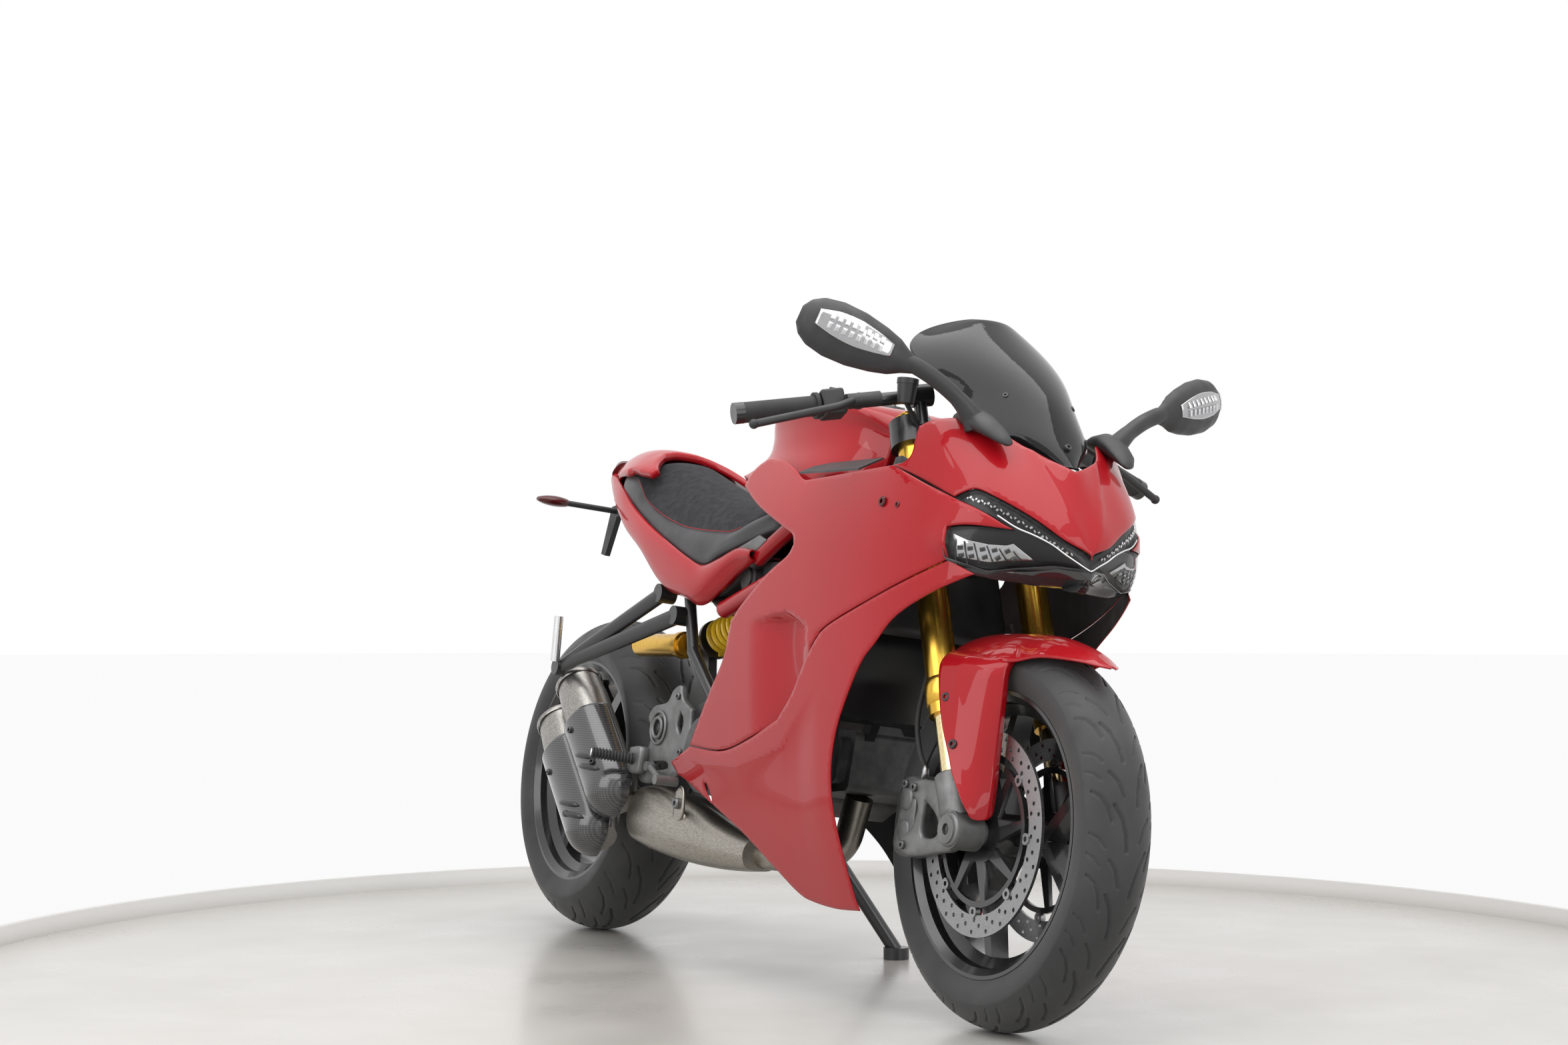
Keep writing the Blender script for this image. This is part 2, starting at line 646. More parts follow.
def side_place(depth, sign):
    def place(flat):
        x, z = flat[:, 0], flat[:, 1]
        y = SKIN.half(x, z) - depth(x, z)
        front = x > JOIN_X
        if front.any():
            share = smooth((x[front] - JOIN_X) / JOIN_RUN) * smooth((z[front] - JOIN_Z) / JOIN_RISE)
            y[front] = y[front] * (1 - share) + (nose_half(x[front], z[front]) + 0.6) * share
        return np.column_stack([x, -y * sign, z])
    return place


def side_normal(depth, sign):
    put = side_place(depth, 1)

    def normal(flat):
        dx = put(flat + [1.0, 0.0]) - put(flat - [1.0, 0.0])
        dz = put(flat + [0.0, 1.0]) - put(flat - [0.0, 1.0])
        n = np.cross(dx, dz)
        n /= np.linalg.norm(n, axis=1)[:, None]
        n *= np.where(n[:, 1:2] < 0, 1.0, -1.0)
        n[:, 1] *= sign
        return n
    return normal


def build_side_panels():
    for side, sign in (("right", 1), ("left", -1)):
        for kind, outline, depth, holes, lines in (
                ("upper", UPPER_OUTLINE, scoop_depth, (), SCOOP_LINES),
                ("lower", LOWER_OUTLINE, lower_depth, (VENT_HOLE,), (LOWER_CREASE,))):
            loop = closed_curve(*outline)
            obj = sheet(kind + "_shell_" + side, RED, loop, side_place(depth, sign), side_normal(depth, sign),
                        holes, lines, lining=PLASTIC)
            mount(obj, "red_paint", kind + "_panel_" + side)
        spots = []
        for x, z, r in ((1311, 801, 8.5), (1349, 796, 5.0)):
            here = side_place(scoop_depth, sign)(np.array([[x, z]], float))[0]
            out = side_normal(scoop_depth, sign)(np.array([[x, z]], float))[0]
            spots.append((here - [0, 2.0 * -sign, 0], out, r))
        dimples = bolt_mesh("panel_plugs_" + side, spots, RED_LENS)
        mount(dimples, "red_lens", "upper_panel_" + side)


# Nose and lamps
NOSE_Z = np.array((700, 760, 813, 870, 927, 965), float)
NOSE = (((1603, 0), (1573, 24), (1535, 75), (1512, 131), (1466, 172), (1340, 196)),
        ((1592, 0), (1588, 38), (1562, 88), (1528, 134), (1466, 180), (1340, 204)),
        ((1566, 0), (1560, 52), (1544, 108), (1512, 150), (1460, 174), (1340, 202)),
        ((1536, 0), (1520, 45), (1500, 95), (1470, 138), (1420, 172), (1330, 196)),
        ((1490, 0), (1478, 40), (1460, 82), (1432, 130), (1396, 168), (1320, 186)),
        ((1430, 0), (1424, 36), (1408, 74), (1384, 116), (1356, 152), (1300, 170)))
NOSE_BACK = 1290.0
NOSE_ARC = 420.0
NOSE_MID, NOSE_SPAN = 830, 130


def nose_table():
    """Fourth-degree curves over the height for x and y at even shares of the half arc."""
    share = np.linspace(0, 1, 181)
    levels = []
    for row in NOSE:
        right = [*row, (NOSE_BACK, row[-1][1])]
        full = [(x, -y) for x, y in reversed(right[1:])] + right
        line = catmull(full, (), 24)
        half = line[len(line) // 2:]
        levels.append(resample(half, len(share)))
    levels = np.array(levels)
    height = (NOSE_Z - NOSE_MID) / NOSE_SPAN
    return share * NOSE_ARC, [np.polyfit(height, levels[:, :, k], 4) for k in (0, 1)]


NOSE_AT, NOSE_FIT = nose_table()


def nose_xy(a, z):
    """x and half width of the nose at arc a and height z."""
    h = (np.asarray(z, float) - NOSE_MID) / NOSE_SPAN
    i = np.clip(np.searchsorted(NOSE_AT, np.abs(a)) - 1, 0, len(NOSE_AT) - 2)
    t = (np.abs(a) - NOSE_AT[i]) / (NOSE_AT[i + 1] - NOSE_AT[i])
    out = []
    for fit in NOSE_FIT:
        lo = sum(fit[k][i] * h ** (4 - k) for k in range(5))
        hi = sum(fit[k][i + 1] * h ** (4 - k) for k in range(5))
        out.append(lo + (hi - lo) * t)
    return out[0], out[1]


def nose_arc(x, z):
    """The arc at which the nose is at x on the level z."""
    xs, _ = nose_xy(NOSE_AT, np.full(len(NOSE_AT), float(z)))
    return float(np.interp(-x, -xs, NOSE_AT))


def nose_half(x, z):
    flat_x, flat_z = np.ravel(x), np.ravel(z)
    a = np.array([nose_arc(u, v) for u, v in zip(flat_x, flat_z)])
    return nose_xy(a, flat_z)[1].reshape(np.shape(x))


def nose_path(points):
    return [(nose_arc(x, z), z) for x, z in points]


NOSE_CREASE = [(6, 738), (22, 775), (44, 830), (66, 872), (82, 900)]


def nose_place(depth, sign=1):
    def place(flat):
        x, y = nose_xy(flat[:, 0], flat[:, 1])
        out = np.column_stack([x, -y * np.sign(flat[:, 0] + 1e-9) * sign, flat[:, 1]])
        return out - nose_out(flat, sign) * depth(flat)[:, None]
    return place


def nose_out(flat, sign=1):
    def put(f):
        x, y = nose_xy(f[:, 0], f[:, 1])
        return np.column_stack([x, -y * np.sign(f[:, 0] + 1e-9) * sign, f[:, 1]])
    da = np.where(np.abs(flat[:, :1]) < 2, np.sign(flat[:, :1] + 1e-9) * 2.5, 0)
    base = flat + np.hstack([da, np.zeros_like(da)])
    across = put(base + [0.8, 0]) - put(base - [0.8, 0])
    up = put(base + [0, 1.0]) - put(base - [0, 1.0])
    n = np.cross(across, up)
    n /= np.linalg.norm(n, axis=1)[:, None]
    outward = n[:, 0] + n[:, 1] * put(base)[:, 1] * 0.01
    n *= np.where(outward < 0, -1.0, 1.0)[:, None]
    centre = np.abs(flat[:, 0]) < 0.5
    n[centre, 1] = 0
    n[centre] /= np.linalg.norm(n[centre], axis=1)[:, None]
    return n


CREASE_RISE = 3.4
CREASE_INNER, CREASE_OUTER = 26.0, 12.0


def cowl_depth(flat):
    """The raised crease of the nose, wider on the side of its centre."""
    arc, z = np.abs(flat[:, 0]), flat[:, 1]
    d = segment_distance(arc, z, NOSE_CREASE)
    inner = arc < np.interp(z, [p[1] for p in NOSE_CREASE], [p[0] for p in NOSE_CREASE])
    return -CREASE_RISE * np.exp(-d / np.where(inner, CREASE_INNER, CREASE_OUTER))


BROW_LINE = [(1607, 730), (1599, 741), (1588, 757), (1567, 780), (1545, 799), (1520, 814), (1494, 824),
             (1476, 818),
             (1462, 810)]
COWL_EDGE = [(1374, 843), (1316, 862), (1340, 866), (1353, 880), (1352, 905), (1350, 926), (1374, 936),
             (1410, 943),
             (1441, 932), (1497, 897), (1538, 872)]
LENS_BASE = [(1604, 713), (1573, 715), (1535, 706), (1512, 697), (1464, 713)]
LAMP_MIRROR = [(1476, 752), (1500, 742), (1523, 737), (1541, 737), (1548, 741), (1556, 718), (1517, 709),
               (1480, 714)]
LAMP_BACK = [(1462, 768), (1500, 772), (1550, 770), (1590, 752), (1605, 735), (1605, 698), (1573, 700),
             (1535, 690),
             (1508, 682), (1464, 696)]
LAMP_LINE = [(1531, 784), (1551, 768), (1566, 759), (1580, 748), (1590, 734), (1598, 722), (1605, 714)]
LAMP_LIP = [(1464, 712), (1508, 696), (1535, 705), (1573, 714), (1604, 712), (1601, 684), (1580, 678),
            (1545, 676),
            (1505, 674), (1466, 688)]
LAMP_BEAD = [(1464, 758), (1462, 738), (1464, 713), (1512, 697), (1535, 706), (1573, 715), (1600, 714)]
LAMP_STRIP = [(1484, 811), (1513, 803), (1540, 788), (1562, 771), (1580, 752), (1594, 735)]
# How deep the lamps' layers lie under the nose's face
LINE_SINK, BEAD_SINK, LENS_SINK, CELL_SINK = 1.4, 2.0, 2.2, 6.6
BOWL_SINK, LINER_SINK, BACK_SINK = 9.4, 14.0, 14.5
HORN_HIGH = [(1464, 806), (1512, 788), (1552, 762)]
HORN_LOW = [(1552, 762), (1500, 764), (1466, 760)]


def cowl_outline():
    brow = [(0.0, 731.0)] + [(a, z) for a, z in nose_path(BROW_LINE[1:])]
    rest = nose_path(COWL_EDGE)
    right = brow + rest + [(0.0, 872.0)]
    corners = (0, 8, 10, 14, 19)
    half = catmull(right, corners, 8)
    left = half[::-1] * [-1, 1]
    return np.vstack([half, left[1:-1]])


def lamp_outline():
    brow = [(0.6, 729.5)] + [(a, z - 1.5) for a, z in nose_path(BROW_LINE[1:])]
    horn = nose_path(HORN_HIGH) + nose_path(HORN_LOW)[1:]
    base = nose_path(list(reversed(LENS_BASE)))
    base[-1] = (0.6, 713.0)
    pts = brow + horn + base
    return catmull([*pts, pts[0]], (0, 8, 9, 11, 13, 14, 18), 8)[:-1]


def even(sink):
    """The same depth everywhere on a flat map."""
    return lambda flat: np.full(len(flat), sink)


def nose_point(x, z, sink, sign):
    """A place under the nose's face and the outward direction there."""
    flat = np.array([[nose_arc(x, z), z]])
    return nose_place(even(sink), sign)(flat)[0], nose_out(flat, sign)[0]


def nose_line(path, sink, sign):
    """Places under the nose's face along a path on its flat map."""
    return np.array([nose_place(even(sink), sign)(np.array([p]))[0] for p in path])


def nose_sheet(name, mat, loop, depth, sign, cell, wall, edge):
    """A sheet under the nose's face."""
    return sheet(name, mat, loop, nose_place(depth, sign), lambda f: nose_out(f, sign), cell=cell, wall=wall,
                 edge=edge)


def small_block(verts, faces, centre, out, along, size):
    """Adds a bevelled block to a mesh list: size is along, across and out."""
    out = np.array(out) / np.linalg.norm(out)
    along = np.array(along, float)
    along -= out * along.dot(out)
    along /= np.linalg.norm(along)
    side = np.cross(out, along)
    base = len(verts)
    for h, k in ((-0.5, 1.0), (0.25, 1.0), (0.5, 0.72)):
        for u, v in ((-1, -1), (1, -1), (1, 1), (-1, 1)):
            p = centre + along * (0.5 * size[0] * u * k) + side * (0.5 * size[1] * v * k) + out * (size[2] * h)
            verts.append(at(*p))
    for r in (0, 4):
        for i in range(4):
            j = (i + 1) % 4
            faces.append((base + r + i, base + r + j, base + r + 4 + j, base + r + 4 + i))
    faces.append((base + 8, base + 9, base + 10, base + 11))
    faces.append((base + 3, base + 2, base + 1, base))


SEAM_BACKING = [(1290, 880), (1290, 846), (1374, 826), (1440, 800), (1466, 790), (1540, 760), (1590, 740),
                (1600, 752),
                (1570, 800), (1541, 826), (1506, 840), (1462, 826), (1374, 858), (1320, 880)]


def build_nose():
    for side, sign in (("right", 1), ("left", -1)):
        backing = nose_sheet("nose_liner_" + side, PLASTIC, closed_curve(nose_path(SEAM_BACKING), (), 6),
                             even(LINER_SINK), sign, 10.0, 1.5, 0.6)
        mount(backing, "black_plastic", "headlights")
    cowl = sheet("nose_shell", RED, cowl_outline(), nose_place(cowl_depth), nose_out, lines=(
        NOSE_CREASE, [(-a, z) for a, z in NOSE_CREASE]), cell=7.0, wall=3.2, edge=1.6)
    mount(cowl, "red_paint", "nose_cowl")
    for side, sign in (("right", 1), ("left", -1)):
        outline = lamp_outline()
        lens = nose_sheet("lamp_lens_" + side, LENS_CLEAR, outline, even(LENS_SINK), sign, 8.0, 1.6, 1.0)
        bowl = nose_sheet("lamp_bowl_" + side, LAMP_BLACK, outline, even(BOWL_SINK), sign, 9.0, 1.6, 0.8)
        verts, faces = [], []
        for k, (x, z) in enumerate(resample(catmull(LAMP_STRIP, (), 10), 30)):
            centre, out = nose_point(x, z + 2.5 * (k % 2) - 1.2, CELL_SINK, sign)
            small_block(verts, faces, centre, out, (0.85, 0, -0.53), (3.2 + k % 3, 3.0 + (k + 1) % 3, 3.4))
        cells = make_mesh("lamp_cells_" + side, verts, faces, SILVER, smooth=False)
        loop = closed_curve(nose_path(LAMP_MIRROR), range(len(LAMP_MIRROR)), 4)
        mirror = nose_sheet("lamp_mirror_" + side, SILVER_TRIM, loop, even(CELL_SINK), sign, 8.0, 1.4, 0.6)
        verts, faces = [], []
        for k, x in enumerate((1482, 1497, 1509, 1522, 1534, 1545)):
            centre, out = nose_point(x, 722, 5.8, sign)
            small_block(verts, faces, centre, out, (1, 0, 0), (2.2, 40 - 4 * k, 2.4))
        for z in (717, 729):
            for x in (1490, 1503, 1516, 1528, 1540):
                centre, out = nose_point(x, z, 5.2, sign)
                small_block(verts, faces, centre, out, (1, 0, 0), (8.5, 6.5, 3.4))
        back = nose_sheet("lamp_back_" + side, LAMP_BLACK, closed_curve(nose_path(LAMP_BACK), (), 5),
                          even(BACK_SINK), sign, 12.0, 1.4, 0.6)
        fins = make_mesh("lamp_fins_" + side, verts, faces, GLOSS, smooth=False)
        path = resample(catmull(nose_path(LAMP_LINE), (), 8), 50)
        line = tube("lamp_line_" + side, nose_line(path, LINE_SINK, sign), 1.3, SILVER_TRIM, 8)
        lip = nose_sheet("lamp_lip_" + side, LIP_GREY, closed_curve(nose_path(LAMP_LIP), (0, 4, 5, 9), 6),
                         lambda f: 2.0 + 0.35 * np.clip(712 - f[:, 1], 0, 60), sign, 8.0, 2.4, 1.0)
        path = resample(np.array(nose_path(LAMP_BEAD)), 60)
        bead = tube("lamp_bead_" + side, nose_line(path, BEAD_SINK, sign), 0.8, GLOSS, 6)
        for piece in (lens, bowl, back, cells, mirror, fins, line, lip, bead):
            mount(piece, "lamp_dark", "headlights")


def build_ducts():
    """The dark walls inside the fairing that close the view over the radiator."""
    rows = []
    for z in np.linspace(600, 850, 14):
        x = 1140 - 0.45 * (z - 690)
        rows.append([(x - 60 * abs(u) ** 3 + 25, 168 * u, z) for u in np.linspace(-1, 1, 25)])
    wall = grid_mesh("inner_wall", np.array(rows), PLASTIC)
    thicken(wall, 3.0)
    mount(wall, "black_plastic")


# Seat and tail
SUEDE_FRONT = 196
STITCH_PITCH = 6.4
STITCH_LENGTH = 4.2
SEAT_X = (34, 95, 150, 195, 235, 319, 417, 481, 563, 621, 676, 722, 744)
SEAT_CROWN = (918, 932, 944, 948, 940, 912, 882, 866, 850, 843, 842, 842, 836)
SEAT_STITCH = ((60, 908), (92, 922), (100, 918), (105, 890), (108, 860), (112, 828), (115, 803), (115, 794),
               (112, 788), (105, 789), (88, 814), (62, 832), (34, 826))
SEAT_EDGE = ((72, 884), (96, 870), (108, 852), (115, 836), (121, 819), (130, 793), (137, 763), (140, 744),
             (139, 724), (133, 745), (114, 768), (88, 790), (56, 800))


def along(xs, values):
    """A smooth function of x through a table of one or more numbers a station."""
    line = np.array([(u, *np.atleast_1d(v)) for u, v in zip(xs, values)], float)
    curve = catmull(line, (), 12)

    def value(x):
        out = [np.interp(x, curve[:, 0], curve[:, k]) for k in range(1, curve.shape[1])]
        return out[0] if len(out) == 1 else out
    return value


CROWN_AT = along(SEAT_X, SEAT_CROWN)
STITCH_AT = along(SEAT_X, SEAT_STITCH)
EDGE_AT = along(SEAT_X, SEAT_EDGE)


def seat_section(x, count=16):
    """Half a section of the saddle from the crown to its tucked lower edge, and the index of the seam."""
    crown = CROWN_AT(x)
    sy, sz = STITCH_AT(x)
    ey, ez = EDGE_AT(x)
    top = [(sy * t, sz + (crown - sz) * (1 - t ** 2.5) ** 0.85) for t in np.linspace(0, 1, count)]
    side = catmull([(sy, sz), (sy + 0.62 * (ey - sy) + 2.0, 0.5 * (sz + ez) + 3.0), (ey, ez + 3.0),
                    (ey - 1.5, ez - 5.0),
                    (ey - 12.0, ez - 12.0)], (2,), 4)[1:]
    return np.vstack([np.array(top), side]), count - 1


def build_seat():
    stations = np.linspace(SEAT_X[0], SEAT_X[-1], 150)
    rows = []
    for x in stations:
        half, seam = seat_section(x)
        for k, dip in ((seam - 1, 0.7), (seam, 2.6), (seam + 1, 0.7)):
            half[k, 1] -= dip
        full = np.vstack([half[::-1], half[1:] * [-1, 1]])
        rows.append(np.column_stack([np.full(len(full), x), full]))
    obj = grid_mesh("seat_pad", np.array(rows), SUEDE)
    obj.data.materials.append(LEATHER)
    mesh = bmesh.new()
    mesh.from_mesh(obj.data)
    bmesh.ops.holes_fill(mesh, edges=[e for e in mesh.edges if e.is_boundary], sides=0)
    bmesh.ops.recalc_face_normals(mesh, faces=mesh.faces)
    mesh.faces.ensure_lookup_table()
    for face in mesh.faces:
        c = face.calc_center_median() - UPRIGHT_ORIGIN
        x, y = c.x * 1000, c.dot(ACROSS) * 1000
        face.material_index = 0 if abs(y) < STITCH_AT(x)[0] - 0.5 and x > SUEDE_FRONT - 0.35 * abs(y) else 1
        face.smooth = len(face.verts) < 6
    mesh.to_mesh(obj.data)
    mesh.free()
    mount(obj, "seat_cover", "seat")
    verts, faces = [], []
    for sign in (1, -1):
        line = np.array([(x, sign * (STITCH_AT(x)[0] + 2.4), STITCH_AT(x)[1] - 1.6)
                         for x in np.linspace(176, 640, 300)])
        run = np.r_[0, np.cumsum(np.linalg.norm(np.diff(line, axis=0), axis=1))]
        for start in np.arange(3, run[-1] - 6, STITCH_PITCH):
            a, b = (np.array([np.interp(t, run,
                                        line[:, k]) for k in range(3)]) for t in (start, start + STITCH_LENGTH))
            out = np.array([0.0, sign * 0.75, 0.66])
            small_block(verts, faces, 0.5 * (a + b) + out * 0.5, out, b - a, (np.linalg.norm(b - a), 1.3, 1.3))
    thread = make_mesh("seat_stitching", verts, faces, THREAD, smooth=False)
    mount(thread, "seat_cover", "seat")


TAIL_AT = (-60, 20, 100, 190, 300, 420, 520, 585, 645, 705, 758)
TAIL_RIDGE = ((50, 934), (76, 908), (99, 884), (119, 846), (135, 805), (145, 764), (148, 731), (148, 715),
              (146, 727), (142, 745), (138, 742))
TAIL_WIDE = ((55, 922), (83, 898), (107, 868), (127, 826), (143, 784), (152, 730), (156, 700), (156, 690),
             (153, 708),
             (148, 733), (143, 737))
TAIL_CREASE = ((52, 908), (84, 884), (108, 846), (127, 802), (142, 756), (151, 692), (155, 668), (154, 664),
               (151, 695),
               (146, 724), (142, 731))
TAIL_LOW = ((46, 902), (78, 872), (100, 834), (118, 795), (131, 752), (139, 682), (140, 660), (140, 646),
            (138, 672),
            (135, 706), (133, 726))


RIDGE_AT = along(TAIL_AT, TAIL_RIDGE)
WIDE_AT = along(TAIL_AT, TAIL_WIDE)
CREASE_AT = along(TAIL_AT, TAIL_CREASE)
LOW_AT = along(TAIL_AT, TAIL_LOW)


def tail_rows(x, sign):
    seat_x = float(np.clip(x, SEAT_X[0], SEAT_X[-1]))
    ey, ez = EDGE_AT(seat_x)
    ry, rz = RIDGE_AT(x)
    wy, wz = WIDE_AT(x)
    cy, cz = CREASE_AT(x)
    ly, lz = LOW_AT(x)
    ey, ez = min(ey, ry - 8.0), min(ez, rz + 20.0)
    line = [(ey - 9, min(ez, rz) - 15), (0.5 * (ey + ry) - 1, min(ez, rz) - 8), (ry - 3.5, rz - 1.2),
            (ry - 0.5, rz + 0.4),
            (ry + 2.2, rz - 2.4), (0.5 * (ry + wy) + 2.2, 0.5 * (rz + wz)), (wy, wz),
            (0.5 * (wy + cy) + 1.0, 0.5 * (wz + cz)), (cy + 0.4, cz + 1.6), (cy - 1.6, cz - 1.4),
            (0.5 * (cy + ly), 0.5 * (cz + lz)), (ly, lz), (ly - 3, lz + 0.5), (ly - 16, lz + 8)]
    return [(x, sign * y, z) for y, z in line]


HUMP_OUTLINE = ([(-58, 0), (-57, 44), (-20, 66), (30, 84), (90, 104), (150, 118), (215, 126), (262, 124),
                 (268, 112),
                 (228, 92), (190, 60), (178, 30), (176, 0)], (1, 6, 7, 8, 10))
HUMP_X = (-60, 0, 60, 110, 150, 176, 215, 270)
HUMP_TOP = (962, 975, 980, 979, 975, 969, 962, 952)
HUMP_SIDE = (926, 930, 932, 931, 928, 925, 916, 898)


HUMP_TOP_AT = along(HUMP_X, HUMP_TOP)
HUMP_SIDE_AT = along(HUMP_X, HUMP_SIDE)


def hump_height(flat):
    x, y = flat[:, 0], np.abs(flat[:, 1])
    width = RIDGE_AT(x)[0] + 1.0
    r = np.clip(y / width, 0, 1.05)
    return HUMP_TOP_AT(x) - (HUMP_TOP_AT(x) - HUMP_SIDE_AT(x)) * r ** 2.6


def hump_place(flat):
    return np.column_stack([flat, hump_height(flat)])


def hump_out(flat):
    dx = (hump_height(flat + [0.5, 0]) - hump_height(flat - [0.5, 0]))
    dy = (hump_height(flat + [0, 0.5]) - hump_height(flat - [0, 0.5]))
    n = np.column_stack([-dx, -dy, np.ones(len(flat))])
    return n / np.linalg.norm(n, axis=1)[:, None]


def build_tail():
    half = catmull(HUMP_OUTLINE[0], HUMP_OUTLINE[1], 8)
    outline = np.vstack([half, half[-2:0:-1] * [1, -1]])
    hump = sheet("tail_hump", RED, outline, hump_place, hump_out, cell=8.0, wall=15.0, edge=3.4)
    mount(hump, "red_paint", "tail_cowl")
    stations = np.linspace(TAIL_AT[0], TAIL_AT[-1], 130)
    for side, sign in SIDES:
        grid = np.array([tail_rows(x, sign) for x in stations])
        shell = grid_mesh("tail_fairing_" + side, grid, RED, flip=sign > 0)
        thicken(shell, 2.4)
        mount(shell, "red_paint", "tail_cowl")
    for name, row, rise in (("tail_tray", 0, -10.0), ("tail_under", -1, 6.0)):
        grid = []
        for x in stations:
            _, y, z = tail_rows(x, 1)[row]
            bow = z + 0.7 * rise
            grid.append([(x, -y - 1, z), (x, -0.6 * y, bow), (x, 0, z + rise), (x, 0.6 * y, bow),
                         (x, y + 1, z)])
        tray = grid_mesh(name, np.array(grid), PLASTIC)
        thicken(tray, 2.0)
        mount(tray, "black_plastic", "tail_cowl")


def thicken(obj, thick):
    """Gives an open grid an even wall below its outer face."""
    mod = obj.modifiers.new("wall", "SOLIDIFY")
    mod.thickness = thick / 1000
    mod.offset = -1.0


# Tank
TANK_ROWS = (((664, 0, 950), (684, 0, 984), (745, 0, 1004), (850, 0, 1011), (950, 0, 1009), (1040, 0, 997),
              (1098, 0, 968)),
             ((666, 46, 948), (688, 66, 980), (750, 92, 1000), (850, 104, 1006), (950, 104, 1005),
              (1040, 88, 993), (1088, 58, 962)),
             ((670, 62, 942), (694, 86, 970), (756, 118, 990), (850, 134, 996), (950, 134, 996),
              (1040, 116, 984), (1088, 66, 950)),
             ((674, 64, 930), (696, 88, 946), (758, 114, 956), (850, 128, 962), (950, 126, 962),
              (1034, 107, 956), (1088, 66, 938)),
             ((676, 70, 912), (702, 96, 922), (760, 119, 925), (850, 131, 925), (950, 129, 924),
              (1034, 112, 922), (1088, 68, 922)),
             ((672, 92, 896), (704, 117, 900), (764, 138, 896), (850, 149, 890), (950, 147, 884),
              (1036, 126, 882), (1088, 72, 900)),
             ((662, 112, 880), (694, 140, 880), (764, 158, 868), (850, 164, 856), (950, 160, 850),
              (1040, 134, 850), (1086, 76, 880)),
             ((664, 108, 868), (700, 132, 866), (766, 150, 856), (850, 156, 844), (950, 152, 838),
              (1040, 126, 838), (1084, 72, 868)),
             ((668, 60, 850), (700, 70, 848), (770, 80, 840), (850, 84, 832), (950, 82, 830), (1036, 66, 832),
              (1080, 40, 860)))

# Radius and height of the fuel cap's rings
CAP_X = 930
CAP_RINGS = ((0.2, 1014.2), (10, 1014.2), (12, 1013.2), (27, 1012.6), (29, 1014.6), (34, 1014.6), (37, 1012.6),
             (38, 1006))
CAP_SCREWS_R = 32


def build_tank():
    rows = np.array([resample(catmull(row, (), 10), 64) for row in TANK_ROWS])
    sections = []
    for k in range(rows.shape[1]):
        half = catmull(rows[:, k], (6, 7), 5)
        sections.append(np.vstack([half[::-1][:-1], half * [1, -1, 1]]))
    tank = grid_mesh("tank_shell", np.array(sections), RED)
    close_ends(tank)
    cap = ring_strip("tank_cap", CAP_RINGS, BLACK, 48, lambda x, y, z: at(CAP_X + x, y, z))
    spots = [((CAP_X + CAP_SCREWS_R * math.cos(t), CAP_SCREWS_R * math.sin(t), 1014.6), (0, 0, 1), 2.6)
             for t in circle(7)]
    screws = bolt_mesh("tank_cap_screws", spots, DARK_STEEL)
    for piece, slot in ((tank, "red_paint"), (cap, "black_metal"), (screws, "dark_steel")):
        mount(piece, slot, "tank")


# Mirrors
MIRROR_HEAD = ((-0.06, 9, 10), (0.06, 18, 19), (0.16, 27, 30), (0.3, 33, 38), (0.5, 37, 45), (0.7, 37, 46),
               (0.86, 31, 40),
               (0.95, 22, 29), (1.0, 9, 14))
MIRROR_ARM = [(1400, 262, 1016), (1410, 236, 1008), (1422, 200, 990), (1432, 168, 968), (1438, 146, 948),
              (1440, 130, 930)]
# Centre, half width and half height of each section of the foot
MIRROR_FOOT = ((1372, 128, 944, 2, 2), (1380, 128, 945, 10, 7), (1400, 128, 944, 18, 13),
               (1430, 128, 940, 25, 19),
               (1460, 126, 930, 25, 17), (1490, 121, 914, 20, 12), (1508, 116, 902, 12, 7),
               (1514, 114, 898, 2, 2))
MIRROR_JOINT = np.array([1408.0, 240.0, 1008.0])
MIRROR_TIP = np.array([1332.0, 408.0, 1066.0])


def mirror_point(t, a, grow=0.0):
    """A place on the mirror's head: t runs from joint to tip, and a turns from the front."""
    run = MIRROR_TIP - MIRROR_JOINT
    way = run / np.linalg.norm(run)
    up = np.array([0.0, 0.0, 1.0]) - way * way[2]
    up /= np.linalg.norm(up)
    front = np.cross(up, way)
    if front[0] < 0:
        front = -front
    share, widths, heights = zip(*MIRROR_HEAD)
    wide = np.interp(t, share, widths) + grow
    tall = np.interp(t, share, heights) + grow
    flat = 0.45 if math.cos(a) < 0 else 1.0
    return MIRROR_JOINT + run * t + front * (0.8 * wide * math.cos(a) * flat) + up * (tall * math.sin(a))


def mirror_patch(name, sign, mat, grow, t_lo, t_hi, half_arc, wall):
    ts = np.linspace(t_lo, t_hi, 26)
    grid = []
    for t in ts:
        share = (t - t_lo) / (t_hi - t_lo)
        reach = half_arc * (0.35 + 0.65 * math.sin(math.pi * min(1.0, share * 0.72 + 0.14)))
        grid.append([mirror_point(t, 0.12 + reach * v, grow) * [1, sign, 1] for v in np.linspace(-1, 1, 14)])
    obj = grid_mesh(name, np.array(grid), mat, flip=sign < 0)
    thicken(obj, wall)
    return obj


